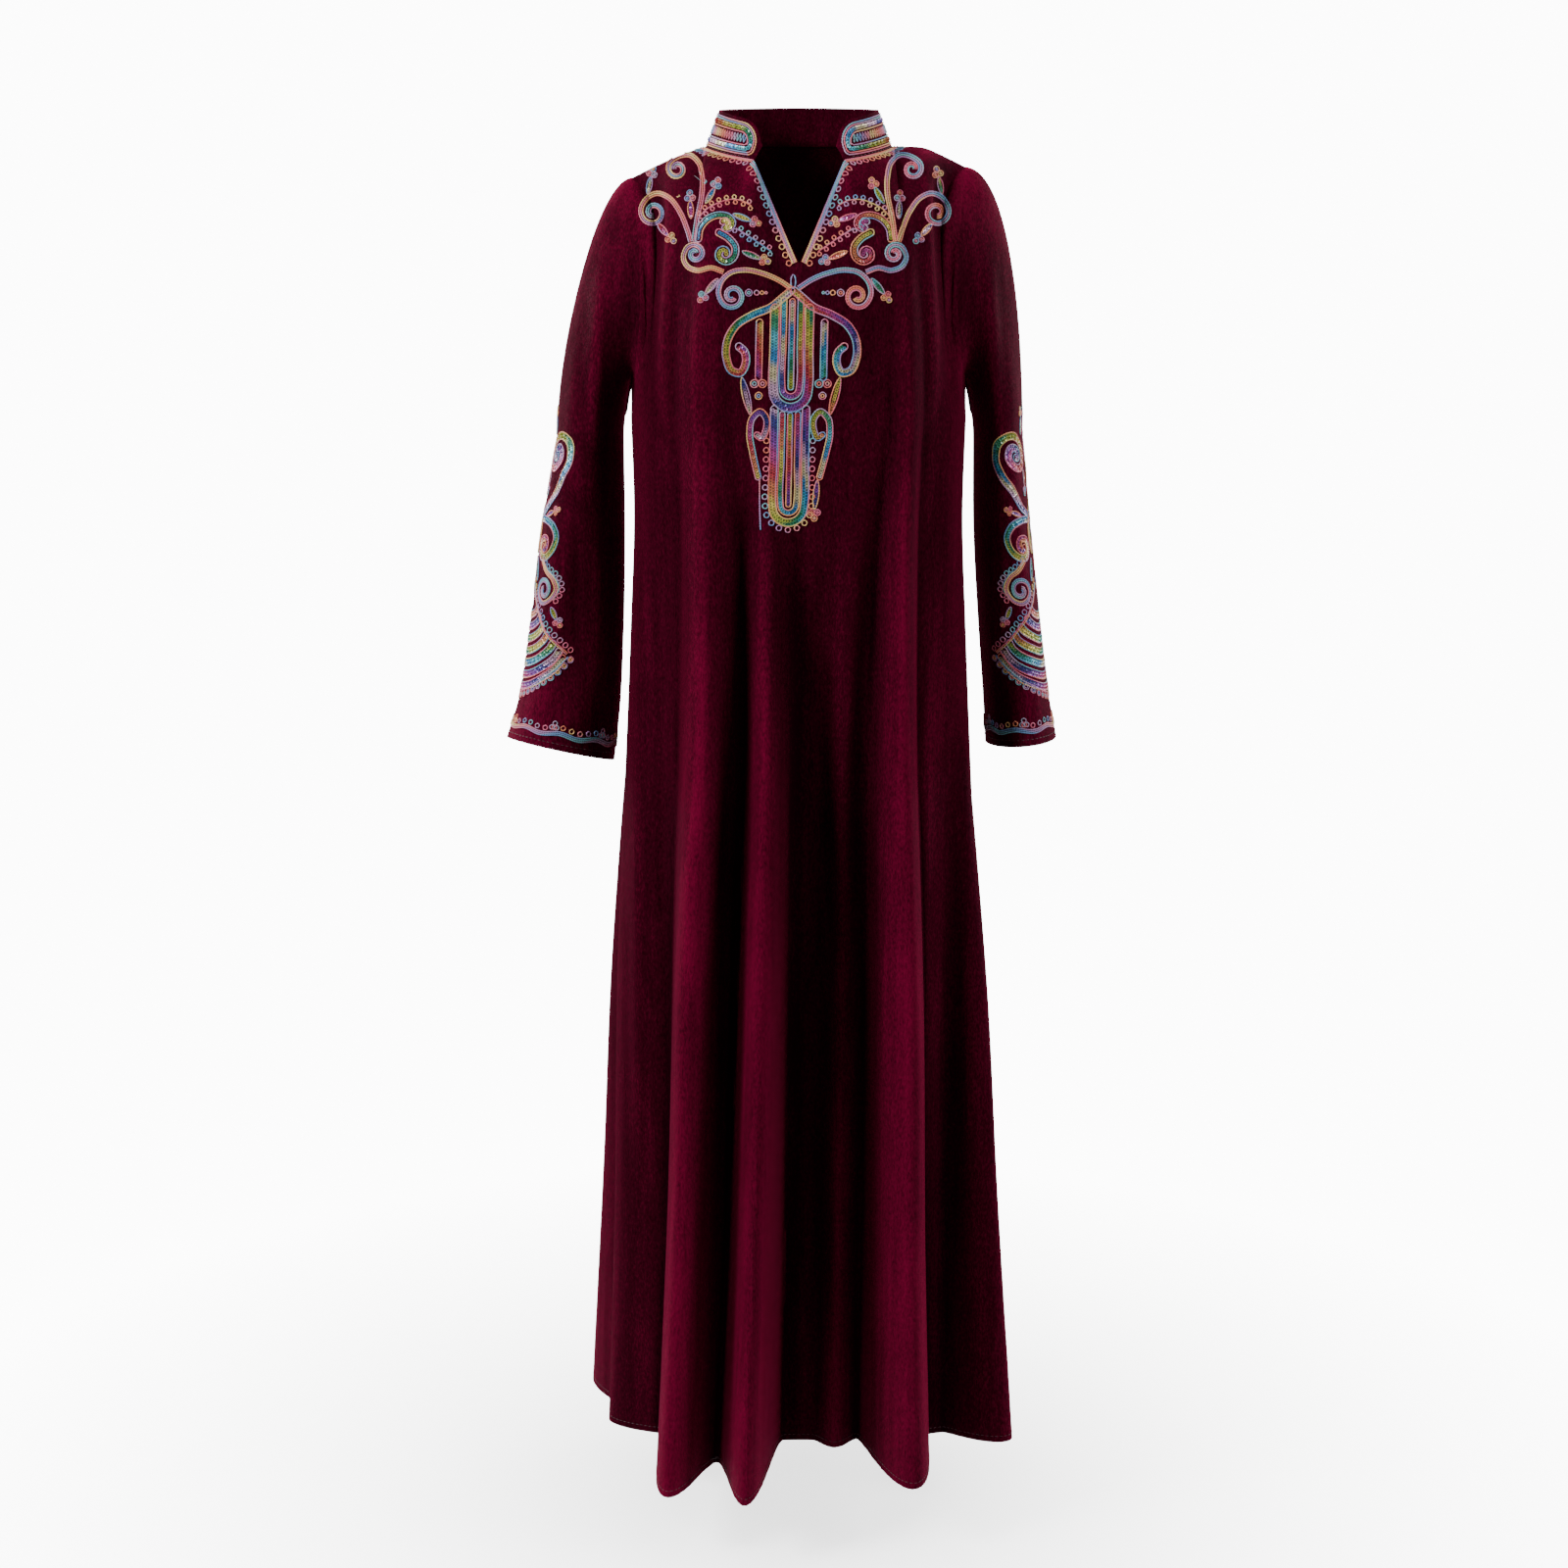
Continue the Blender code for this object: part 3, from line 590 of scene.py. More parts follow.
# %% Small creases
CREASES = {
    # side: x and z at the start, x and z at the end, half width, rise outwards
    "front": (
        (0.018, -0.42, 0.022, -1.32, 0.024, -0.0080), (0.168, -0.55, 0.166, -1.33, 0.014, -0.0060),
        (-0.172, -0.33, -0.176, -1.12, 0.009, 0.0045), (-0.122, -0.36, -0.126, -1.02, 0.010, 0.0045),
        (-0.146, -0.40, -0.150, -1.20, 0.009, -0.0035), (-0.074, -0.42, -0.080, -1.10, 0.014, -0.0050),
        (0.076, -0.46, 0.080, -1.10, 0.009, 0.0045), (0.134, -0.42, 0.138, -1.16, 0.009, 0.0045),
        (0.106, -0.50, 0.110, -1.22, 0.010, -0.0040), (-0.034, -0.62, -0.038, -1.25, 0.012, 0.0035),
        (-0.158, -0.10, -0.160, -0.27, 0.007, -0.0030), (0.156, -0.09, 0.160, -0.27, 0.007, -0.0030),
        (-0.140, -0.09, -0.138, -0.30, 0.008, 0.0025), (0.140, -0.08, 0.136, -0.30, 0.008, 0.0025),
        (-0.166, -0.24, -0.120, -0.34, 0.009, -0.0025), (0.166, -0.23, 0.122, -0.33, 0.009, -0.0025),
    ),
    "back": (
        (0.000, -0.26, 0.004, -0.95, 0.020, -0.0060), (-0.085, -0.24, -0.095, -1.05, 0.011, 0.0045),
        (0.088, -0.24, 0.098, -1.05, 0.011, 0.0045), (-0.135, -0.30, -0.140, -1.20, 0.010, -0.0040),
        (0.135, -0.30, 0.142, -1.20, 0.010, -0.0040), (-0.045, -0.34, -0.050, -1.15, 0.010, 0.0030),
        (0.042, -0.38, 0.050, -1.20, 0.010, 0.0030), (-0.150, -0.10, -0.156, -0.27, 0.008, -0.0025),
        (0.150, -0.09, 0.156, -0.27, 0.008, -0.0025), (-0.06, -0.04, 0.06, -0.04, 0.010, 0.0015),
    ),
    "sleeve_right": (
        (-0.262, -0.285, -0.196, -0.330, 0.008, -0.0028), (-0.270, -0.325, -0.200, -0.362, 0.008, 0.0022),
        (-0.272, -0.350, -0.204, -0.388, 0.008, -0.0026), (-0.222, -0.10, -0.232, -0.30, 0.009, -0.0030),
        (-0.205, -0.12, -0.214, -0.32, 0.007, 0.0028), (-0.228, -0.36, -0.248, -0.60, 0.012, -0.0040),
        (-0.256, -0.40, -0.276, -0.60, 0.009, 0.0030), (-0.208, -0.40, -0.216, -0.60, 0.008, 0.0028),
    ),
    "sleeve_left": (
        (0.246, -0.290, 0.196, -0.322, 0.008, -0.0026), (0.250, -0.330, 0.198, -0.366, 0.008, 0.0022),
        (0.252, -0.366, 0.202, -0.392, 0.008, -0.0024), (0.214, -0.10, 0.220, -0.31, 0.009, -0.0030),
        (0.198, -0.12, 0.206, -0.33, 0.007, 0.0028), (0.222, -0.36, 0.234, -0.60, 0.011, -0.0035),
        (0.244, -0.42, 0.256, -0.60, 0.009, 0.0025), (0.206, -0.42, 0.214, -0.60, 0.008, 0.0025),
    ),
}


def outward(name, grid):
    closed = name.startswith("sleeve")
    facing = grid_normals(grid, closed=closed)
    middle = grid.mean(axis=1, keepdims=True) if closed else np.zeros(3)
    inwards = (facing * (grid - middle))[..., :2].sum() < 0
    return -facing if inwards else facing


def crease(name, grid):
    """The grid with its creases; on a sleeve they lie on its front and on its back."""
    closed = name.startswith("sleeve")
    facing = outward(name, grid)
    rise = np.zeros(grid.shape[:2])
    for x0, z0, x1, z1, wide, high in CREASES[name]:
        start, way = np.array((x0, z0)), np.array((x1 - x0, z1 - z0))
        off = grid[..., ::2] - start
        share = np.clip((off @ way) / (way @ way), 0, 1)
        apart = np.linalg.norm(off - share[..., None] * way, axis=-1)
        rise += high * np.sin(math.pi * share) ** 0.7 * np.exp(-(apart / wide) ** 2)
    rows, columns = grid.shape[:2]
    rise *= np.clip(np.arange(rows) / 5 - 0.2, 0, 1)[:, None] * np.abs(facing[..., 1]) ** 0.5
    if not closed:
        side = np.minimum(np.arange(columns), np.arange(columns)[::-1])
        rise *= np.clip(side / 6 - 0.2, 0, 1)
    return grid + facing * rise[..., None]


for name in CREASES:
    grids[name] = crease(name, grids[name])
print("creases:", {name: len(rows) for name, rows in CREASES.items()})

# %% [markdown]
# A ridge is painted lighter and a valley nearly black: painted highlight on the ridges and painted shade
# in the valleys, in the velvet's colour. Each point therefore keeps a number for its relief: how far it
# stands out from the mean of the cloth around it. The velvet's colour reads it later.

# %% Relief of the folds, for painted light and shade
RELIEF_REACH = 7          # columns to each side that the mean is taken over
RELIEF_DEPTH = 0.016      # m from the darkest valley to the brightest ridge


# 0 gets the darkest painted shade and 1 the brightest painted highlight in the velvet's colour.
def painted_relief_light_of(name, grid):
    """0 in a deep valley, 0.5 on flat cloth and 1 on a high ridge."""
    mode = "wrap" if name.startswith("sleeve") else "edge"
    wide = np.pad(grid, ((0, 0), (RELIEF_REACH, RELIEF_REACH), (0, 0)), mode=mode)
    count = grid.shape[1]
    mean = sum(wide[:, k:k + count] for k in range(2 * RELIEF_REACH + 1))
    mean /= 2 * RELIEF_REACH + 1
    stands_out = ((grid - mean) * outward(name, grid)).sum(axis=-1)
    stands_out -= np.median(stands_out)
    return np.clip(0.5 + stands_out / RELIEF_DEPTH, 0, 1)


painted_relief_light = {name: painted_relief_light_of(name, grid) for name, grid in grids.items()}
print("relief:", {name: float(values.std().round(2)) for name, values in painted_relief_light.items()})

# %% [markdown]
# Each sheet of cloth is a primitive grid whose points are moved onto its form. Its UV map is
# in metres on the cloth, so the nap keeps one size on every piece. A sleeve's grid is rolled
# into a tube and its doubled edge is merged. Solidify then gives the cloth its thickness,
# inwards, so the outside stays where the solid's outside is.

# %% Cloth pieces
def cloth_piece(name, grid, stands_out, closed=False):
    rows, columns = grid.shape[:2]
    if closed:
        grid = np.concatenate([grid, grid[:, :1]], axis=1)
        stands_out = np.concatenate([stands_out, stands_out[:, :1]], axis=1)
        columns += 1
    bpy.ops.object.select_all(action="DESELECT")
    bpy.ops.mesh.primitive_grid_add(x_subdivisions=columns - 1, y_subdivisions=rows - 1, size=1)
    piece = bpy.context.object
    piece.name = piece.data.name = name
    mesh = piece.data
    flat = np.zeros(len(mesh.vertices) * 3)
    mesh.vertices.foreach_get("co", flat)
    flat = flat.reshape(-1, 3) + 0.5
    c = np.rint(flat[:, 0] * (columns - 1)).astype(int)
    r = np.rint((1 - flat[:, 1]) * (rows - 1)).astype(int)
    mesh.vertices.foreach_set("co", grid[r, c].ravel())
    across = np.concatenate([np.zeros((rows, 1)), np.cumsum(
        np.linalg.norm(np.diff(grid, axis=1), axis=2), axis=1)], axis=1)
    across -= across[:, columns // 2][:, None]
    down = np.concatenate([np.zeros((1, columns)), np.cumsum(
        np.linalg.norm(np.diff(grid, axis=0), axis=2), axis=0)])
    spread = np.stack([across, -down], -1)[r, c]
    corner = np.zeros(len(mesh.loops), int)
    mesh.loops.foreach_get("vertex_index", corner)
    layer = mesh.uv_layers[0]
    layer.name = "cloth"
    layer.data.foreach_set("uv", spread[corner].ravel())
    # The relief goes with each point as an attribute, and the velvet paints light and shade from it.
    layer = mesh.color_attributes.new("painted_relief_light", "FLOAT_COLOR", "POINT")
    layer.data.foreach_set("color", np.repeat(stands_out[r, c], 4))
    mesh.update()
    bpy.ops.object.mode_set(mode="EDIT")
    bpy.ops.mesh.select_all(action="SELECT")
    if closed:
        bpy.ops.mesh.remove_doubles(threshold=1e-6)
    bpy.ops.mesh.normals_make_consistent(inside=False)
    bpy.ops.object.mode_set(mode="OBJECT")
    return piece


def face_outwards(piece, towards):
    """Flips the piece where its faces look towards its own middle line."""
    mesh = piece.data
    total = sum(polygon.normal.dot(polygon.center - towards(polygon.center)) * polygon.area
                for polygon in mesh.polygons)
    if total < 0:
        mesh.flip_normals()


def give_wall(piece, wall):
    bpy.ops.object.select_all(action="DESELECT")
    piece.select_set(True)
    bpy.context.view_layer.objects.active = piece
    solid = piece.modifiers.new("wall", "SOLIDIFY")
    solid.thickness = wall
    solid.offset = -1
    bpy.ops.object.modifier_apply(modifier=solid.name)
    bpy.ops.object.shade_smooth_by_angle(angle=math.radians(50))


def middle_line(name):
    grid = grids[name]
    heights = grid[:, :, 2].mean(axis=1)
    centres = grid.mean(axis=1)
    order = np.argsort(heights)

    def at(point):
        if name in ("front", "back", "collar"):
            return Vector((0, 0.0, point.z))
        x, y = (np.interp(point.z, heights[order], centres[order, k]) for k in (0, 1))
        return Vector((x, y, point.z))

    return at


cloth = {}
for name in ("front", "back", "sleeve_right", "sleeve_left", "collar"):
    piece = cloth_piece(f"{name}_cloth", grids[name], painted_relief_light[name],
                        closed=name.startswith("sleeve"))
    face_outwards(piece, middle_line(name))
    cloth[name] = piece
print("cloth pieces:", {name: len(piece.data.polygons) for name, piece in cloth.items()})

# %% [markdown]
# The velvet's pile is short and dense. Seen straight on it is almost black, and at a fold's edge the
# hairs catch the light with a pink and crimson sheen. That sheen is the shader's own layer of fine
# fibres. The nap's small tufts give the colour and the bump, and long faint streaks hang straight down,
# as the pile lies when the cloth hangs. The colour also holds painted light and shade: it is painted
# lighter on the folds' ridges and darker in their valleys, from the relief kept with each point.

# %% Velvet
# Colour stops from dark nap and painted shade in the valleys, through flat cloth, to lit nap and painted
# highlight on the ridges.
VELVET_DEEP_AND_SHADE = (0.0070, 0.0002, 0.0015)
VELVET_MIDDLE = (0.030, 0.0006, 0.0056)
VELVET_LIT = (0.135, 0.0024, 0.0225)


def velvet():
    material, tree, shader = new_material("velvet")
    uv = cloth_map(tree)
    place = Wire(tree, tree.nodes.new("ShaderNodeTexCoord").outputs["Object"])
    tall = uv.out(uv.node("ShaderNodeMapping", Vector=place, Scale=(1.0, 1.0, 0.07)))
    drawn = uv.out(uv.node("ShaderNodeMapping", Vector=place, Scale=(1.0, 1.0, 0.35)))

    def noise(where, scale, detail, roughness=0.6):
        item = uv.node("ShaderNodeTexNoise", Vector=where, Scale=scale, Detail=detail,
                       Roughness=roughness)
        return uv.out(item, "Fac")

    tuft = noise(drawn, 620.0, 3.0)
    streak = noise(tall, 62.0, 4.0, 0.66)
    stroke = noise(tall, 16.0, 1.0, 0.4)
    patch = noise(place, 5.0, 2.0)
    # The folds' relief paints light and shade into the colour: lighter on the ridges, darker in the
    # valleys.
    height = tree.nodes.new("ShaderNodeVertexColor")
    height.layer_name = "painted_relief_light"
    painted_ridge_light = Wire(tree, height.outputs["Color"])
    nap_and_painted_light = stroke * 0.30 + streak * 0.46 + patch * 0.30 + tuft * 0.90 + painted_ridge_light * 0.54 - 0.86
    nap_and_painted_light = nap_and_painted_light.math("MAXIMUM", 0.0).math("MINIMUM", 1.0)
    colour = uv.node("ShaderNodeValToRGB",
                     {"stops": ((0.12, VELVET_DEEP_AND_SHADE), (0.42, VELVET_MIDDLE), (0.95, VELVET_LIT))},
                     Fac=nap_and_painted_light)
    tree.links.new(colour.outputs[0], shader.inputs["Base Color"])
    rough = 0.90 - streak * 0.30
    tree.links.new(rough.socket, shader.inputs["Roughness"])
    fine = noise(uv, 1500.0, 1.0)
    height = tuft * 0.7 + streak * 0.8 + fine * 0.5
    bump = uv.node("ShaderNodeBump", Strength=0.7, Distance=0.0009, Height=height)
    tree.links.new(bump.outputs[0], shader.inputs["Normal"])
    shader.inputs["Specular IOR Level"].default_value = 0.03
    shader.inputs["Specular Tint"].default_value = (0.8, 0.05, 0.2, 1)
    shader.inputs["Sheen Weight"].default_value = 0.55
    shader.inputs["Sheen Roughness"].default_value = 0.24
    shader.inputs["Sheen Tint"].default_value = (0.82, 0.030, 0.15, 1)
    return material


velvet_cloth = velvet()
for piece in cloth.values():
    piece.data.materials.append(velvet_cloth)
print("velvet made")

# %% [markdown]
# Now the sheets get their thickness and stand for their solids. The embroidery is laid on
# them next, so their walls have to be in place.

# %% Walls
for name, piece in cloth.items():
    give_wall(piece, COLLAR_WALL if name == "collar" else WALL)
    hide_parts(name)
    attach(piece, "root")
    print(piece.name, len(piece.data.polygons), "faces")

# %% [markdown]
# The embroidery is the garment's jewel: scrolls, leaves and trefoils in space-dyed chain-stitched
# cord, with bands of small sequins between two cords. It is a traditional ornament and symmetric,
# so one half is drawn in millimetres, as a designer draws it on paper, and turned over for the
# other half. First come the pencil lines: a smooth curve through a few points, and a spiral.

# %% Pencil lines
STITCH = 0.85          # mm between two points of a cord


def even(points, step):
    """The same line with evenly spaced points."""
    length = np.concatenate([[0], np.cumsum(np.linalg.norm(np.diff(points, axis=0), axis=1))])
    count = max(2, int(round(length[-1] / step)) + 1)
    at = np.linspace(0, length[-1], count)
    return np.stack([np.interp(at, length, points[:, k]) for k in range(points.shape[1])], -1)


def line(*points, step=STITCH):
    """A smooth line through points, evenly spaced."""
    points = np.array(points, float)
    at = np.concatenate([[0], np.cumsum(np.linalg.norm(np.diff(points, axis=0), axis=1))])
    if len(points) == 2:
        return even(points, step)
    slope = np.gradient(points, at, axis=0)
    fine = np.linspace(0, at[-1], int(at[-1] / step * 4) + 4)
    i = np.clip(np.searchsorted(at, fine, side="right") - 1, 0, len(at) - 2)
    span = (at[i + 1] - at[i])[:, None]
    t = (fine - at[i])[:, None] / span
    dense = ((1 + 2 * t) * (1 - t) ** 2 * points[i] + t * (1 - t) ** 2 * span * slope[i]
             + t * t * (3 - 2 * t) * points[i + 1] - t * t * (1 - t) * span * slope[i + 1])
    return even(dense, step)


def wind(centre, start, turns, end):
    """Points that wind in from a start to a centre; negative turns go clockwise."""
    away = np.array(start, float) - centre
    share = np.linspace(0, 1, int(abs(turns) * 14) + 3)[1:]
    radius = np.hypot(*away) + (end - np.hypot(*away)) * share
    angle = math.atan2(away[1], away[0]) + 2 * math.pi * turns * share
    return [tuple(p) for p in np.array(centre) + np.stack(
        [radius * np.cos(angle), radius * np.sin(angle)], -1)]


def beside(path, distance):
    """The line at a distance to the left of a path."""
    along = unit(np.gradient(path, axis=0))
    return path + distance * np.stack([-along[:, 1], along[:, 0]], -1)


print("a curl has", len(wind((0, 0), (10, 0), -1.5, 2)), "points")

# %% [markdown]
# The stitcher's vocabulary is small. A cord is one line of chain stitch. A braid is three cords
# side by side. A band has a cord along each side, round ends, and rows of sequins between. A
# leaf is a short pointed band, a loop a ring of cord, and a trefoil three loops. Each drawing
# is a list of cords and a list of sequin seats, and each colour is a place in the dye's run.

# %% Stitches
CORD = 0.78            # radius of an outline cord in mm
BRAID = 0.98           # radius of each cord of a braid
SEQUIN = 1.95          # radius of a sequin
SEQUIN_PITCH = 2.9


class Drawing:
    """Cords and sequins in millimetres on the flat cloth."""

    def __init__(self):
        self.cords, self.sequins = [], []

    def cord(self, path, dye=0.0, radius=CORD, closed=False):
        self.cords.append((np.array(path, float), dye, radius, closed))

    def braid(self, path, dye=0.0, strands=3):
        for k in range(strands):
            side = (k - (strands - 1) / 2) * BRAID * 1.95
            self.cord(beside(path, side), dye + 0.35 * (k == 1) + 0.1 * k, BRAID)

    def rows(self, path, width, dye, rows):
        room = width - 4 * CORD
        for k in range(rows):
            side = (k - (rows - 1) / 2) * room / max(rows, 1)
            seats = even(beside(path, side), SEQUIN_PITCH)
            if rows > 1 and k % 2:
                seats = (seats[1:] + seats[:-1]) / 2
            along = unit(np.gradient(seats, axis=0))
            size = min(SEQUIN, room / rows * 0.62)
            self.sequins.append((seats, along, dye + 0.23 * k, size))

    def band(self, path, width, dye=0.0, rows=1, cord_dye=None):
        """A closed outline round the path, with rows of sequins inside."""
        cord_dye = dye + 0.4 if cord_dye is None else cord_dye
        half = width / 2 - CORD
        along = unit(np.gradient(path, axis=0))
        ends = []
        for at, way in ((-1, 1), (0, -1)):
            forward = along[at] * way
            left = np.array([-forward[1], forward[0]])
            angle = np.linspace(math.pi / 2, -math.pi / 2, 7)[1:-1]
            ends.append([path[at] + half * (np.sin(a) * left + np.cos(a) * forward)
                         for a in angle])
        outline = np.concatenate([beside(path, half), ends[0], beside(path, -half)[::-1],
                                  ends[1]])
        self.cord(outline, cord_dye, closed=True)
        inner = path[1:-1] if len(path) > 6 else path
        self.rows(inner, width, dye, rows)

    def leaf(self, start, end, width=6.0, dye=0.0, rows=1):
        """A pointed leaf from its foot to its tip."""
        path = line(start, end)
        share = np.linspace(0, 1, len(path))
        belly = (width / 2 - CORD * 0.6) * np.sin(math.pi * np.clip(share, 0, 1)) ** 0.6
        along = unit(np.array(end, float) - start)
        left = np.array([-along[1], along[0]])
        outline = np.concatenate([path + belly[:, None] * left,
                                  (path - belly[:, None] * left)[::-1][1:-1]])
        self.cord(outline, dye + 0.5, closed=True)
        self.rows(path[2:-2], width + 0.6, dye, rows)

    def loop(self, centre, radius=2.5, dye=0.0):
        angle = np.linspace(0, 2 * math.pi, 15)[:-1]
        ring = np.array(centre) + radius * np.stack([np.cos(angle), np.sin(angle)], -1)
        self.cord(ring, dye, CORD * 0.92, closed=True)

    def trefoil(self, foot, aim, dye=0.0, radius=2.7):
        """Three loops at the end of a leaf that points along aim."""
        aim = unit(np.array(aim, float))
        left = np.array([-aim[1], aim[0]])
        foot = np.array(foot, float)
        for k, (ahead, aside) in enumerate(((1.0, 1.0), (1.0, -1.0), (2.9, 0.0))):
            self.loop(foot + radius * (ahead * aim + aside * left), radius, dye + 0.3 * k)
            self.loop(foot + radius * (ahead * aim + aside * left), radius * 0.36, dye + 0.6 * k)

    def fringe(self, path, pitch=7.4, radius=2.4, dye=0.0, sides=(1, -1)):
        """A cord with loops along it."""
        self.cord(path, dye)
        for side in sides:
            seats = even(beside(path, side * (radius + CORD)), pitch)
            if side < 0 and len(sides) > 1:
                seats = (seats[1:] + seats[:-1]) / 2
            for k, seat in enumerate(seats):
                self.loop(seat, radius, dye + 0.12 * k + (0.5 if side < 0 else 0))

    def beads(self, path, pitch=9.0, side=1, radius=2.7, gap=2.0, dye=0.0):
        """Single loops that stand off a band."""
        for k, seat in enumerate(even(beside(path, side * (radius + gap)), pitch)):
            self.loop(seat, radius, dye + 0.17 * k)

    def turned(self, dye=0.9):
        """The other half: the same drawing turned over, in another part of the dye's run."""
        other = Drawing()
        flip = np.array([-1, 1])
        other.cords = [(p * flip, d + dye, r, c) for p, d, r, c in self.cords]
        other.sequins = [(s * flip, a * flip, d + dye, z) for s, a, d, z in self.sequins]
        return other

    def add(self, *others):
        for other in others:
            self.cords += other.cords
            self.sequins += other.sequins
        return self

    def moved(self, shift):
        """The drawing with its points moved by a function."""
        other = Drawing()
        other.cords = [(shift(p), d, r, c) for p, d, r, c in self.cords]
        other.sequins = [(shift(s), a, d, z) for s, a, d, z in self.sequins]
        return other


print("a leaf takes", (lambda d: (d.leaf((0, 0), (0, 15)), len(d.cords[0][0]))[1])(Drawing()),
      "stitches")

# %% [markdown]
# The chest motif grows out of the bow under the V slit. Two braids rise from it to a round
# knot, and from there to a scroll on the shoulder and a curl beside the collar. Inside them
# lie two sequin scrolls and two fringed sprigs, and leaves with trefoils fill the gaps. Here x
# runs outwards from the middle line and y is the height, both in millimetres.

# %% The chest motif
def chest_half():
    d = Drawing()
    # the braid from the bow to the knot
    d.braid(line((72, -131), (84, -127), (98, -129.5), (108, -125.5), (112, -116),
                 *wind((100.5, -113), (111, -115), 1.45, 1.5)), 0.2)
    # the shoulder scroll
    d.braid(line((104.5, -101), (108.3, -88.5), (115.9, -70.8), (126.3, -58), (137.5, -53.7),
                 (148.4, -58.7), *wind((142.2, -72.5), (153.8, -67), -1.30, 3.5)), 2.2)
    # the stem and the curl beside the collar
    d.braid(line((101.5, -101), (97.5, -76), (93, -55.4), (92.8, -37), (96.5, -23.5),
                 (104.5, -16.8), (115, -17.6), *wind((117.8, -30), (124.6, -23.5), -1.12, 3.0)),
            4.6)
    # the sequin scrolls
    d.band(line((96.7, -98.5), (95, -88.5), (87.3, -79), (75, -74.9), (66, -77.2),
                (62.6, -83), (67, -88), *wind((71.5, -83), (72.8, -88), -0.62, 1.8)),
           7.6, 0.0, 1)
    d.band(line((76.4, -92), (66.4, -98), (60, -107), (61.6, -116), (69.4, -120.5),
                (76.5, -116), *wind((71.3, -113), (76.6, -112.5), 0.55, 1.8)), 8.4, 3.3, 1)
    # the fringed sprigs
    d.fringe(line((96.5, -78), (89.1, -69.7), (77.5, -63.3), (65.9, -59.8), (53.1, -60.9),
                  (43.5, -66)), pitch=8.0, radius=1.9, dye=5.1)
    d.fringe(line((59, -88), (47.3, -95.1), (35.7, -102.8), (23.5, -111)), pitch=8.0, radius=1.9,
             dye=1.4)
    # the leaves and their trefoils
    for foot, tip, aim, dye, width in (
            ((62, -74), (44, -80.5), (-1, -0.35), 1.0, 6.2),
            ((53, -110.5), (34.5, -118), (-1, -0.35), 7.0, 6.2),
            ((104.2, -78.5), (105, -61), (0.05, 1), 5.2, 6.6),
            ((89.5, -63.5), (80.2, -48), (-0.45, 1), 3.1, 5.8),
            ((147.6, -54.5), (144, -37.5), (-0.3, 1), 6.2, 6.2),
            ((137.6, -83.5), (127.6, -95), (-0.75, -0.7), 1.7, 6.4),
            ((77.5, -137.5), (90.5, -152.6), (0.65, -0.8), 6.0, 6.4)):
        d.leaf(foot, tip, width, dye)
        d.trefoil(tip, aim, dye + 1.3)
    # the bow
    d.braid(line((4, -147), (15.5, -139.6), (32.6, -132.5), (51, -129.1), (65.2, -131.9),
                 (74.3, -140.7), (77, -153), *wind((63.2, -154.6), (73, -162), -1.28, 2.8)), 3.0)
    for x, size, dye in ((46.5, 3.4, 4.0), (38.6, 2.4, 5.0), (33.2, 1.7, 6.0), (29.0, 1.2, 6.5)):
        d.loop((x, -151.5), size, dye)
    d.loop((46.5, -151.5), 1.4, 2.0)
    return d


half = chest_half()
chest = Drawing().add(half, half.turned())
ring = np.linspace(0, 2 * math.pi, 22)[:-1]
chest.cord(np.stack([1.5 + 2.4 * np.sin(ring), -140.5 + 6.8 * np.cos(ring)], -1), 1.5,
           closed=True)
print("chest:", len(chest.cords), "cords and", sum(len(s[0]) for s in chest.sequins), "sequins")

# %% [markdown]
# The pendant hangs from the bow: two long U shapes one below the other, each a nest of sequin
# bands, with a curling arm, a bar and a leaf on either side of the upper one, and a scroll
# with a tail on either side of the lower one.

# %% The pendant
def u_path(half, top, bottom):
    """A U from the top of one leg to the top of the other."""
    angle = np.linspace(0, math.pi, 13)
    arc = [(-half * math.cos(a), bottom + half - half * math.sin(a)) for a in angle]
    return line((-half, top), (-half, (top + bottom + half) / 2), *arc,
                (half, (top + bottom + half) / 2), (half, top))


def pendant():
    d = Drawing()
    d.band(u_path(17.6, -167, -266.5), 10.2, 0.5, 2)
    d.band(u_path(8.6, -159, -255.5), 7.4, 3.8, 1)
    d.band(line((0, -160), (0, -246)), 7.0, 6.1, 1)
    d.band(u_path(16.2, -268, -383.5), 9.2, 1.9, 2)
    d.band(u_path(8.0, -273, -373.5), 7.0, 5.0, 1)
    d.band(line((0, -274), (0, -365)), 6.6, 7.4, 1)
    lower = u_path(20.8, -300, -388.0)
    d.beads(lower, pitch=9.4, side=-1, radius=2.7, gap=0.2, dye=2.0)
    side = Drawing()
    side.band(line((1.5, -149.5), (10, -156.5), (21, -165.5), (40, -173.5), (57, -184.5),
                   (65.3, -199), (66.0, -217), (60, -229.6), (52, -231.5), (46.3, -222),
                   (48, -210), (53.5, -205)), 8.8, 2.7, 2)
    side.band(line((33, -181), (33, -236)), 8.2, 4.4, 2)
    for x, z, size in ((28.8, -242.3, 4.0), (37.2, -242.3, 4.0), (32.6, -254.5, 3.6)):
        side.loop((x, z), size, 0.1 * x)
        side.loop((x, z), size * 0.45, 0.1 * x + 1)
    side.leaf((50, -236), (40.5, -273.5), 8.2, 5.7, 1)
    side.band(line((31.5, -337), (37.5, -313), (41.0, -291), (38.5, -277), (30.5, -270.5),
                   (24.5, -277), (24.5, -289), (29, -297), (33.5, -294)), 7.4, 1.2, 1)
    tail = Drawing()
    tail.leaf((29.5, -340), (27, -370), 6.8, 5.4, 1)
    tail.trefoil((27, -370), (0, -1), 2.5, 3.1)
    d.add(side, side.turned(1.7), tail.turned(0))
    d.cord(line((30, -338), (29.4, -365), (28.0, -391)), 1.1, CORD * 1.1)
    return d


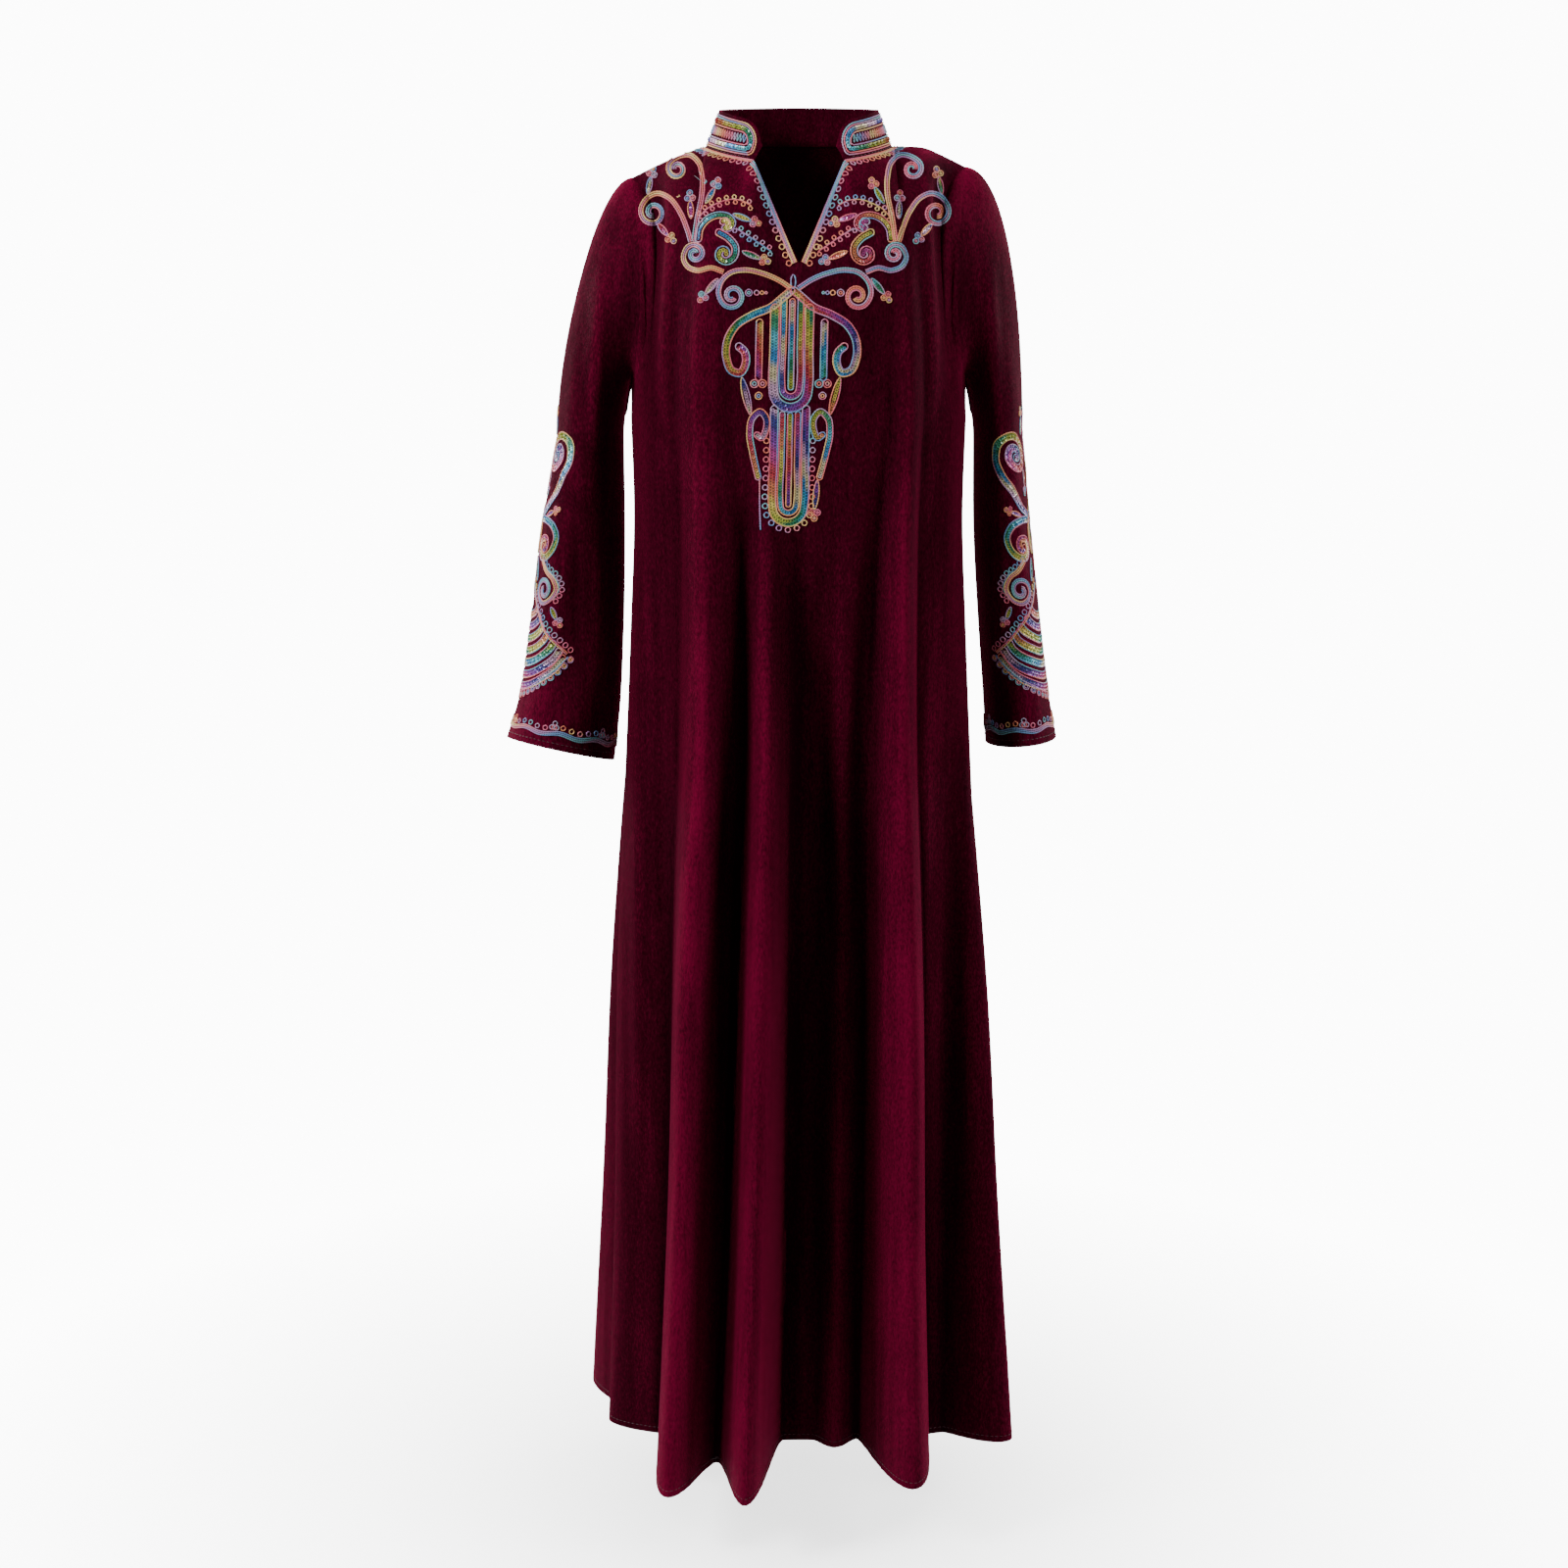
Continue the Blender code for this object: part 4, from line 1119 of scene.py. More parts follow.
PENDANT_LEAN = ((-2.0, -150.0), (-7.0, -390.0))   # its middle line, x at two heights


def lean(points):
    (x0, z0), (x1, z1) = PENDANT_LEAN
    shifted = points.copy()
    # x runs to the wearer's right here, so the pendant leans that way on its way down
    shifted[:, 0] -= x0 + (x1 - x0) * (points[:, 1] - z0) / (z1 - z0)
    return shifted


drop = pendant().moved(lean)
print("pendant:", len(drop.cords), "cords and", sum(len(s[0]) for s in drop.sequins), "sequins")

# %% [markdown]
# A drawing is laid on the cloth from the front, along lines of sight, so that it keeps the
# shape the wearer's mirror shows. A ray from the camera's place through each point of the
# drawing finds the cloth and the direction in which it faces there.

# %% Laying a drawing on the cloth
CHEST_AXIS = -0.0045     # x of the motif's middle line
CHEST_PLANE = -0.11      # y of the plane in which the motif is drawn


def tree_of(piece):
    mesh = piece.data
    return BVHTree.FromPolygons([v.co.copy() for v in mesh.vertices],
                                [tuple(p.vertices) for p in mesh.polygons])


front_tree = tree_of(cloth["front"])


def lay_on_front(points):
    """Places and normals on the front panel; x of a drawing runs to the wearer's right."""
    eye = Vector(CAMERA_PLACE)
    places, facing = [], []
    for x, z in points:
        aim = Vector((CHEST_AXIS - x / 1000, CHEST_PLANE, z / 1000))
        hit, normal, _, _ = front_tree.ray_cast(eye, aim - eye)
        if hit is None:
            hit, normal, _, _ = front_tree.find_nearest(aim)
        if normal.dot(aim - eye) > 0:
            normal = -normal
        places.append(hit)
        facing.append(normal)
    return np.array(places), np.array(facing)


def soften(normals, closed):
    """Normals evened out along a line, so that a cord doesn't twist on the cloth's facets."""
    for _ in range(3):
        before, after = np.roll(normals, 1, axis=0), np.roll(normals, -1, axis=0)
        if not closed:
            before[0], after[-1] = normals[0], normals[-1]
        normals = unit(before + 2 * normals + after)
    return normals


place, facing = lay_on_front([(0, -150)])
print("under the bow the cloth is at", place.round(3), "and faces", facing.round(2))

# %% [markdown]
# The dye changes every few centimetres along a thread, from one bright colour to the next, so
# colour is worked out along each line's length and kept as an attribute of the points. Cords
# run through pastels and sequins through strong colours.

# %% Dyes
THREAD_DYE = np.array((
    (0.60, 0.085, 0.130), (0.66, 0.145, 0.080), (0.68, 0.270, 0.100), (0.64, 0.430, 0.140),
    (0.62, 0.160, 0.210), (0.33, 0.150, 0.340), (0.11, 0.230, 0.450), (0.13, 0.370, 0.420),
    (0.40, 0.230, 0.380), (0.62, 0.110, 0.210)))
SEQUIN_DYE = np.array((
    (0.03, 0.30, 0.70), (0.10, 0.62, 0.78), (0.02, 0.34, 0.16), (0.55, 0.62, 0.06),
    (0.90, 0.72, 0.12), (0.88, 0.26, 0.10), (0.72, 0.04, 0.07), (0.66, 0.05, 0.34),
    (0.30, 0.05, 0.48), (0.04, 0.04, 0.34), (0.80, 0.46, 0.70), (0.86, 0.74, 0.42)))
THREAD_RUN = 26.0      # mm of each colour
SEQUIN_RUN = 17.0
PLAIN, PLAIN_DYE = -1.0, (0.040, 0.001, 0.007)     # sewing thread in the cloth's own colour


def dyed(palette, start, length, run):
    """Colours at lengths along a line; each colour holds, then blends into the next."""
    if start == PLAIN:
        return np.tile(PLAIN_DYE, (len(length), 1))
    at = (start * 3.7 + length / run) % len(palette)
    index = np.floor(at).astype(int)
    blend = np.clip((at - index - 0.55) / 0.45, 0, 1)[:, None]
    after = palette[(index + 1) % len(palette)]
    return palette[index % len(palette)] * (1 - blend) + after * blend


def run_of(points):
    return np.concatenate([[0], np.cumsum(np.linalg.norm(np.diff(points, axis=0), axis=1))])


print("dyes:", len(THREAD_DYE), "thread and", len(SEQUIN_DYE), "sequin colours")

# %% [markdown]
# A cord is a curve with a round bevel. Chain stitch is a row of small links, so the cord's
# radius swells and narrows every two millimetres and a half. All the cords of a piece are splines
# of one curve, which is then made a mesh.

# %% Cords
LINK = (1.0, 0.92, 0.60)     # radius of a cord over the three points of one link


def make_cords(name, laid):
    """laid is a list of (places, normals, dye, radius in mm, closed)."""
    data = bpy.data.curves.new(name, "CURVE")
    data.dimensions = "3D"
    data.bevel_depth = 0.001
    data.bevel_resolution = 1
    colours = []
    for places, normals, dye, radius, closed in laid:
        # two points in one place would become one ring of the mesh
        apart = np.linalg.norm(places - np.roll(places, 1, axis=0), axis=1) > 5e-5
        places, normals = places[apart], normals[apart]
        count = len(places)
        sunk = places + normals * radius * 0.00045
        links = np.array(LINK)[np.arange(count) % len(LINK)] * radius
        spline = data.splines.new("POLY")
        spline.points.add(count - 1)
        spline.points.foreach_set("co", np.column_stack([sunk, np.ones(count)]).ravel())
        spline.points.foreach_set("radius", links)
        spline.use_cyclic_u = closed
        colours.append(dyed(THREAD_DYE, dye, run_of(places) * 1000, THREAD_RUN))
    piece = bpy.data.objects.new(name, data)
    bpy.context.scene.collection.objects.link(piece)
    bpy.ops.object.select_all(action="DESELECT")
    piece.select_set(True)
    bpy.context.view_layer.objects.active = piece
    bpy.ops.object.convert(target="MESH")
    piece = bpy.context.object
    mesh = piece.data
    metres = sum(run_of(places)[-1] for places, *_ in laid)
    colours = np.concatenate(colours)
    sides = len(mesh.vertices) // len(colours)
    layer = mesh.color_attributes.new("thread", "FLOAT_COLOR", "POINT")
    full = np.column_stack([np.repeat(colours, sides, axis=0),
                            np.ones(len(colours) * sides)])
    layer.data.foreach_set("color", full.ravel())
    mesh.shade_smooth()
    bpy.ops.object.mode_set(mode="EDIT")
    bpy.ops.mesh.select_all(action="SELECT")
    bpy.ops.mesh.fill_holes(sides=sides)
    bpy.ops.object.mode_set(mode="OBJECT")
    print(name, len(laid), "cords,", round(float(metres), 2), "m,", len(mesh.polygons), "faces")
    return piece


# %% [markdown]
# A sequin is a small dished disc with a hole in its middle, sewn down through the hole. One is
# modelled with a rim, a raised face and a dark middle. Thousands are needed, so its points are
# copied by arithmetic: each copy gets its seat, the direction of its row, a slight tilt over
# the one before, like a scale, and its colour.

# %% Sequins
def model_sequin():
    bpy.ops.object.select_all(action="DESELECT")
    bpy.ops.mesh.primitive_circle_add(vertices=7, radius=1.0, fill_type="NGON")
    disc = bpy.context.object
    bpy.ops.object.mode_set(mode="EDIT")
    bpy.ops.mesh.select_all(action="SELECT")
    bpy.ops.mesh.extrude_region_move(TRANSFORM_OT_translate={"value": (0, 0, 0.22)})
    bpy.ops.mesh.inset(thickness=0.58, depth=-0.10)
    bpy.ops.mesh.poke(offset=-0.05)
    bpy.ops.mesh.select_all(action="SELECT")
    bpy.ops.mesh.normals_make_consistent(inside=False)
    bpy.ops.object.mode_set(mode="OBJECT")
    points = np.array([v.co for v in disc.data.vertices])
    faces = [tuple(p.vertices) for p in disc.data.polygons]
    bpy.data.objects.remove(disc, do_unlink=True)
    return points, faces


SEQUIN_POINTS, SEQUIN_FACES = model_sequin()
SEQUIN_TILT = 0.16


def make_sequins(name, laid):
    """laid is a list of (places, normals, along, dye, radius in mm)."""
    points, colours = [], []
    middle = np.hypot(SEQUIN_POINTS[:, 0], SEQUIN_POINTS[:, 1]) < 0.5
    count = 0
    for places, normals, along, dye, radius in laid:
        tone = dyed(SEQUIN_DYE, dye, run_of(places) * 1000, SEQUIN_RUN)
        along = unit(along - (along * normals).sum(axis=1, keepdims=True) * normals)
        aside = np.cross(normals, along)
        for k in range(len(places)):
            wobble = SEQUIN_TILT * (1 + math.sin(2.4 * (count + k)))
            up = normals[k] + wobble * along[k] + 0.5 * SEQUIN_TILT * math.sin(
                3.9 * (count + k)) * aside[k]
            up /= np.linalg.norm(up)
            ahead = along[k] - along[k].dot(up) * up
            ahead /= np.linalg.norm(ahead)
            frame_axes = np.stack([ahead, np.cross(up, ahead), up])
            points.append(places[k] + 0.0003 * normals[k]
                          + SEQUIN_POINTS @ frame_axes * radius / 1000)
            shade = 0.85 + 0.15 * math.sin(1.7 * (count + k))
            colours.append(np.where(middle[:, None], tone[k] * 0.12, tone[k] * shade))
        count += len(places)
    size = len(SEQUIN_POINTS)
    mesh = bpy.data.meshes.new(name)
    mesh.from_pydata(np.concatenate(points).tolist(), [],
                     [tuple(i + k * size for i in face)
                      for k in range(count) for face in SEQUIN_FACES])
    piece = bpy.data.objects.new(name, mesh)
    bpy.context.scene.collection.objects.link(piece)
    layer = mesh.color_attributes.new("thread", "FLOAT_COLOR", "POINT")
    tones = np.concatenate(colours)
    layer.data.foreach_set("color", np.column_stack([tones, np.ones(len(tones))]).ravel())
    print(name, count, "sequins")
    return piece


# %% [markdown]
# Embroidery thread is rayon: smooth, with a soft shine along the twist. The dye is read from
# the cords' attribute, and a fine noise gives the twist its small shadows. The sequins are
# clear-coated film with a little metal in them.

# %% Thread and sequin finishes
def dye_wire(tree):
    item = tree.nodes.new("ShaderNodeVertexColor")
    item.layer_name = "thread"
    return Wire(tree, item.outputs["Color"])


def shaded(colour, low, high, amount):
    """The colour times a value from low to high."""
    value = amount * (high - low) + low
    return colour.node("ShaderNodeVectorMath", {"operation": "SCALE"}, i0=colour, Scale=value)


def thread_finish():
    material, tree, shader = new_material("chain_stitch")
    colour = dye_wire(tree)
    place = Wire(tree, tree.nodes.new("ShaderNodeTexCoord").outputs["Object"])
    twist = place.node("ShaderNodeTexNoise", Vector=place, Scale=1600.0, Detail=1.0)
    twist = place.out(twist, "Fac")
    toned = shaded(colour, 0.48, 0.98, twist)
    tree.links.new(toned.outputs[0], shader.inputs["Base Color"])
    rough = 0.62 - twist * 0.2
    tree.links.new(rough.socket, shader.inputs["Roughness"])
    bump = place.node("ShaderNodeBump", Strength=0.5, Distance=0.0003, Height=twist)
    tree.links.new(bump.outputs[0], shader.inputs["Normal"])
    shader.inputs["Sheen Weight"].default_value = 0.15
    return material


def sequin_finish():
    material, tree, shader = new_material("sequin_film")
    colour = dye_wire(tree)
    place = Wire(tree, tree.nodes.new("ShaderNodeTexCoord").outputs["Object"])
    cloud = place.node("ShaderNodeTexNoise", Vector=place, Scale=420.0, Detail=1.0)
    cloud = place.out(cloud, "Fac")
    toned = shaded(colour, 0.48, 0.92, cloud)
    tree.links.new(toned.outputs[0], shader.inputs["Base Color"])
    rough = cloud * 0.25 + 0.26
    tree.links.new(rough.socket, shader.inputs["Roughness"])
    shader.inputs["Metallic"].default_value = 0.35
    shader.inputs["Coat Weight"].default_value = 0.15
    shader.inputs["Coat Roughness"].default_value = 0.12
    return material


thread_material, sequin_material = thread_finish(), sequin_finish()
print("thread and sequin finishes made")

# %% [markdown]
# Now each drawing is laid, stitched and given its finish. The mapping from paper to cloth is
# the only thing that differs between the chest, the sleeves and the collar.

# %% Stitching
stitched = {name: [] for name in cloth}


def stitch(name, carrier, drawing, lay):
    laid = []
    for path, dye, radius, closed in drawing.cords:
        places, normals = lay(path)
        laid.append((places, soften(normals, closed), dye, radius, closed))
    pieces = [(make_cords(f"{name}_cords", laid), thread_material)]
    seats = []
    for path, along, dye, radius in drawing.sequins:
        if len(path) < 2:
            continue
        places, normals = lay(path)
        ahead = unit(np.gradient(places, axis=0))
        seats.append((places, soften(normals, False), ahead, dye, radius))
    if seats:
        pieces.append((make_sequins(f"{name}_sequins", seats), sequin_material))
    for piece, finish in pieces:
        piece.data.materials.clear()
        piece.data.materials.append(finish)
        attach(piece, "root")
        stitched[carrier].append(piece)


stitch("chest", "front", chest, lay_on_front)
stitch("pendant", "front", drop, lay_on_front)

# %% [markdown]
# A braid with loops borders the V slit and runs on under the collar, round the back of the
# neck. It is drawn along the edge itself: x is the way along the edge from the foot of the V,
# and the second number the way out onto the cloth. A ray from outside finds the cloth there.

# %% The edge of the neck
def edge_frame(side_sign):
    """Points of the neck's edge from the V foot to the middle of the back, with directions."""
    front_middle = (grids["front"].shape[1] - 1) // 2
    back_middle = (grids["back"].shape[1] - 1) // 2
    hole, shoulder, neck, slit = (row[2] for row in STRETCHES["front"])
    steps = [("front", front_middle + side_sign * c) for c in range(0, slit + neck + 1)]
    steps += [("back", back_middle + side_sign * c)
              for c in range(STRETCHES["back"][2][2] - 1, -1, -1)]
    points = np.array([grids[s][0, c] for s, c in steps])
    onto = np.array([grids[s][3, c] - grids[s][0, c] for s, c in steps])
    facing = np.array([normals[s][1, c] for s, c in steps])
    along = unit(np.gradient(points, axis=0))
    onto = unit(onto - (onto * along).sum(axis=1, keepdims=True) * along)
    facing = unit(facing)
    for _ in range(4):
        for values in (onto, facing):
            values[1:-1] = unit(values[:-2] + 2 * values[1:-1] + values[2:])
    return points, onto, facing


def join_trees(*pieces):
    points, faces = [], []
    for piece in pieces:
        start = len(points)
        points += [v.co.copy() for v in piece.data.vertices]
        faces += [tuple(i + start for i in p.vertices) for p in piece.data.polygons]
    return BVHTree.FromPolygons(points, faces)


panels_tree = join_trees(cloth["front"], cloth["back"])
REACH = 0.012          # a ray starts this far outside the cloth


def cast_in(tree, guess, outward):
    places, facing = [], []
    for point, out in zip(guess, outward):
        point, out = Vector(point), Vector(out)
        hit, normal, _, _ = tree.ray_cast(point + out * REACH, -out, 2 * REACH)
        if hit is None:
            hit, normal, _, _ = tree.find_nearest(point)
        if normal.dot(out) < 0:
            normal = -normal
        places.append(hit)
        facing.append(normal)
    return np.array(places), np.array(facing)


def lay_on_edge(side_sign):
    points, onto, facing = edge_frame(side_sign)
    length = run_of(points) * 1000

    def lay(drawn):
        at = np.clip(drawn[:, 0], 0, length[-1])
        base, way, out = (np.stack([np.interp(at, length, values[:, k]) for k in range(3)], -1)
                          for values in (points, onto, facing))
        return cast_in(panels_tree, base + way * drawn[:, 1:] / 1000, unit(out))

    return lay, length


def neck_border(length, slit_length):
    d = Drawing()
    slit = line((3, 3.9), (slit_length - 2, 3.9))
    around = line((slit_length - 1, 2.6), (length[-1], 2.6))
    d.braid(slit, 0.7)
    d.braid(around, 5.2, strands=2)
    for k, at in enumerate(np.arange(5, slit_length - 3, 9.0)):
        d.loop((at, 9.6), 2.7, 3 + 0.21 * k)
    for k, at in enumerate(np.arange(slit_length + 5, length[-1] - 2, 8.2)):
        d.loop((at, 7.2), 2.7, 5 + 0.21 * k)
    return d


for side_sign, name in ((-1, "right_neck"), (1, "left_neck")):
    lay, length = lay_on_edge(side_sign)
    slit_length = length[STRETCHES["front"][3][2]]
    border = neck_border(length, slit_length)
    stitch(name, "front", border, lay)
    print(name, "edge", length[-1].round(), "mm, slit", slit_length.round(), "mm")

# %% [markdown]
# The collar carries a rainbow row of sequins that follows its outline, a braid outside that
# row, and a zig-zag of cord along its middle. Lines at one distance from a rounded outline are
# the same outline drawn smaller, so one function gives them all.

# %% The collar
collar_tree = tree_of(cloth["collar"])
collar_facing = grid_normals(grids["collar"])
if (collar_facing[-1, :, :2] * grids["collar"][-1, :, :2]).sum() < 0:
    collar_facing = -collar_facing
COLLAR_RUN = run_of(grids["collar"][0]) * 1000


def collar_height(at):
    """Height of the collar in mm at a distance from its first front end."""
    from_end = np.minimum(at, COLLAR_RUN[-1] - at) / 1000
    corner = np.clip(1 - from_end / COLLAR_END_ROUND, 0, 1)
    height = COLLAR_HEIGHT - COLLAR_END_ROUND * (1 - np.sqrt(np.clip(1 - corner ** 2, 0, 1)))
    return 1000 * np.maximum(height, 0.35 * COLLAR_HEIGHT)


def lay_on_collar(drawn):
    at = np.clip(drawn[:, 0], 0, COLLAR_RUN[-1])
    share = np.clip(drawn[:, 1] / collar_height(at), 0, 1) * (COLLAR_ROWS - 0.0)
    low = np.clip(np.floor(share).astype(int), 0, COLLAR_ROWS - 1)
    blend = (share - low)[:, None]
    columns = np.interp(at, COLLAR_RUN, np.arange(len(COLLAR_RUN)))
    c = np.clip(np.floor(columns).astype(int), 0, len(COLLAR_RUN) - 2)
    part = (columns - c)[:, None]

    def read(values):
        here = values[low, c] * (1 - part) + values[low, c + 1] * part
        above = values[low + 1, c] * (1 - part) + values[low + 1, c + 1] * part
        return here * (1 - blend) + above * blend

    return cast_in(collar_tree, read(grids["collar"]), unit(read(collar_facing)))


def collar_outline(inset):
    """The collar's outline at a distance inside its edge, as a closed line in mm."""
    total, high = COLLAR_RUN[-1], COLLAR_HEIGHT * 1000
    corner = COLLAR_END_ROUND * 1000 - inset
    foot = 4.0
    turn = np.linspace(0, math.pi / 2, 9)
    end = [(inset + foot * (1 - math.cos(a)), inset + foot * (1 - math.sin(a)))
           for a in turn[::-1]]
    end += [(inset + corner * (1 - math.cos(a)), high - inset - corner * (1 - math.sin(a)))
            for a in turn]
    other = [(total - x, y) for x, y in end[::-1]]
    closed = np.array(end + other + end[:1])
    return even(closed, STITCH)


collar_drawing = Drawing()
for inset, dye in ((4.0, 0.5), (5.9, 6.5), (12.6, 2.4)):
    collar_drawing.cord(collar_outline(inset)[:-1], dye, CORD * 1.1, closed=True)
seats = even(collar_outline(9.2), SEQUIN_PITCH)
collar_drawing.sequins.append((seats, unit(np.gradient(seats, axis=0)), 0.3, 2.25))
ZIGZAG_LOW, ZIGZAG_HIGH, ZIGZAG_PITCH = 15.0, 22.4, 4.4
teeth = np.arange(15.5, COLLAR_RUN[-1] - 15.5, ZIGZAG_PITCH / 2)
zigzag = [(x, ZIGZAG_LOW if k % 2 else ZIGZAG_HIGH) for k, x in enumerate(teeth)]
collar_drawing.cord(line(*zigzag), 1.6, CORD)
stitch("collar", "collar", collar_drawing, lay_on_collar)

# %% [markdown]
# Each sleeve carries a tall motif down its outer side, half of it on the front and half on the
# back: a leaf with a trefoil, a great sequin scroll, a smaller one, a fringed curl, and a fan
# of sequin bands at the bottom. x is the way round the sleeve from its outer line.

# %% The sleeve motif
def sleeve_half():
    d = Drawing()
    d.leaf((5, -297), (6, -277), 5.6, 1.0)
    d.trefoil((6, -277), (0.1, 1), 3.0, 2.4)
    d.band(line((5, -381), (17, -374), (33, -357), (45, -338), (50, -321), (46, -306), (36, -299),
                (22, -298.5), (12, -306), (9, -318), (14, -329), (25, -331.5),
                *wind((25, -318), (34, -325), 0.85, 2.4)), 9.2, 2.2, 2)
    d.leaf((11, -334), (8, -352), 5.6, 4.4)
    d.trefoil((8, -352), (0, -1), 1.3, 2.4)
    d.leaf((22, -382), (36, -377), 5.8, 5.3)
    d.trefoil((36, -377), (1, 0.3), 2.6, 2.5)
    d.band(line((8, -386), (24, -387), (38, -393), (45, -404), (42, -417), (31, -426), (20, -425.5),
                (14, -417), (17, -408), *wind((24, -414), (26, -405.5), -0.60, 2.2)), 8.4, 6.3, 2)
    d.fringe(line((26, -430), (37, -438), (50, -446), (56, -458), (51, -470)), pitch=6.4,
             radius=2.5, dye=4.2, sides=(1,))
    d.braid(line((26, -430), (36, -440), (48, -448), (53, -459), (47, -470), (36, -474.5),
                 *wind((35.5, -460.5), (24, -467), -1.25, 2.5)), 3.1, strands=3)
    d.leaf((50, -478), (57, -491), 5.8, 0.9)
    d.trefoil((57, -491), (0.6, -0.8), 2.2, 2.6)
    d.leaf((8, -428), (15, -452), 6.4, 3.7)
    return d


FAN_TOP, FAN_CORNER = (4.0, -455.0), (74.0, -527.0)
FAN_BANDS = (
    # share of the side line where a band ends, height at the middle, dye
    (0.34, -490.0, 4.0), (0.46, -503.0, 1.3), (0.58, -516.0, 6.2), (0.70, -529.0, 2.8),
    (0.82, -542.0, 5.1), (0.93, -555.0, 0.4), (1.03, -567.5, 3.6),
)


def fan_half():
    """The right half of the fan's side line, beads and bottom row."""
    d = Drawing()
    side = line(FAN_TOP, (26, -481), (50, -507), FAN_CORNER)
    d.cord(side, 2.0, CORD * 1.2)
    d.cord(beside(side, -1.7), 5.5, CORD)
    d.beads(side, pitch=8.6, side=1, radius=2.7, gap=1.8, dye=3.3)
    bottom = line((75, -531), (58, -549), (40, -561), (20, -570), (0, -574.5))
    d.cord(bottom, 4.4, CORD * 1.2)
    d.beads(bottom[:-4], pitch=9.2, side=1, radius=3.2, gap=1.2, dye=1.2)
    d.beads(bottom[:-4], pitch=9.2, side=1, radius=1.6, gap=2.8, dye=3.2)
    return d


def fan_bands():
    d = Drawing()
    start, end = np.array(FAN_TOP), np.array(FAN_CORNER)
    for share, middle, dye in FAN_BANDS:
        x, z = start + (end - start) * min(share, 0.985) + (-4.5, -3.0)
        z = z if share < 1 else z - 3.5
        arc = [(x * math.sin(a), z + (middle - z) * (math.cos(a) ** 1.3 if math.cos(a) > 0 else 0))
               for a in np.linspace(-math.pi / 2, math.pi / 2, 13)]
        d.band(line(*arc), 9.4, dye, 2)
    return d


def oval(centre, wide, high, count=26):
    angle = np.linspace(0, 2 * math.pi, count)
    return line(*[(centre[0] + wide * math.sin(a), centre[1] + high * math.cos(a))
                  for a in angle])


half = sleeve_half().add(fan_half())
sleeve_motif = Drawing().add(half, half.turned(), fan_bands())
sleeve_motif.cord(oval((0, -404), 8.5, 19)[:-1], 0.4, CORD * 1.3, closed=True)
sleeve_motif.cord(oval((0, -404), 6.2, 16)[:-1], 3.4, CORD * 1.3, closed=True)
sleeve_motif.rows(line((0, -392), (0, -416)), 9.0, 7.0, 2)
print("sleeve motif:", len(sleeve_motif.cords), "cords and",
      sum(len(s[0]) for s in sleeve_motif.sequins), "sequins")

# %% [markdown]
# A wavy braid with single loops, and a trefoil here and there, goes round each cuff a finger's
# width above its edge. The sleeve is a tube, so a drawing is wrapped round it: the way round
# and the height together find a column and a row of the tube's own grid.

# %% Wrapping the sleeves
CUFF_RISE = 18.0       # mm of the braid's middle above the edge


class SleeveWrap:
    """Places on a sleeve from the way round it and a height, both in millimetres."""

    def __init__(self, name):
        self.name = name
        self.grid = grids[name]
        ring = np.vstack([self.grid[0], self.grid[0][:1]])
        self.turn = 2 * math.pi * run_of(ring) / run_of(ring)[-1]
        self.closed = np.concatenate([self.grid, self.grid[:, :1]], axis=1)
        self.tree = tree_of(cloth[name])
        facing = grid_normals(self.grid, closed=True)
        middle = self.grid[-2] - self.grid[-2].mean(axis=0)
        if (facing[-2] * middle).sum() < 0:
            facing = -facing
        self.facing = np.concatenate([facing, facing[:, :1]], axis=1)

    def turns(self, way, z):
        """Angle round the tube where the arc from the outer line is the given way."""
        table = SLEEVE_RINGS[self.name]
        outer, inner, deep = (smooth(table, z, c) for c in (1, 2, 4))
        half = (outer - inner) / 2
        fine = np.linspace(0, math.pi, 61)
        step = np.hypot(half[:, None] * np.sin(fine), deep[:, None] * np.cos(fine))
        arc = np.cumsum((step[:, 1:] + step[:, :-1]) / 2 * (fine[1] - fine[0]), axis=1) * 1000
        arc = np.concatenate([np.zeros((len(z), 1)), arc], axis=1)
        found = np.array([np.interp(abs(w), row, fine) for w, row in zip(way, arc)])
        return np.where(way < 0, 2 * math.pi - found, found)

    def read(self, values, rows, columns):
        r = np.clip(np.floor(rows).astype(int), 0, values.shape[0] - 2)
        c = np.clip(np.floor(columns).astype(int), 0, values.shape[1] - 2)
        a, b = (rows - r)[:, None], (columns - c)[:, None]
        return ((values[r, c] * (1 - b) + values[r, c + 1] * b) * (1 - a)
                + (values[r + 1, c] * (1 - b) + values[r + 1, c + 1] * b) * a)

    def lay(self, drawn):
        z = drawn[:, 1] / 1000
        columns = np.interp(self.turns(drawn[:, 0], z), self.turn, np.arange(len(self.turn)))
        count = len(self.grid)
        heights = np.array([self.read(self.closed, np.full(len(z), float(r)), columns)[:, 2]
                            for r in range(count)])
        rows = np.array([np.interp(-value, -heights[:, k], np.arange(count))
                         for k, value in enumerate(z)])
        return cast_in(self.tree, self.read(self.closed, rows, columns),
                       unit(self.read(self.facing, rows, columns)))

    def lay_cuff(self, drawn):
        """x goes once round from 0 to the edge's length, y is the height above the edge."""
        edge = run_of(self.closed[-1]) * 1000
        columns = np.interp(drawn[:, 0] % edge[-1], edge, np.arange(len(edge)))
        gap = np.linalg.norm(self.closed[-1] - self.closed[-2], axis=1).mean() * 1000
        rows = len(self.grid) - 1 - drawn[:, 1] / gap
        return cast_in(self.tree, self.read(self.closed, rows, columns),
                       unit(self.read(self.facing, rows, columns)))


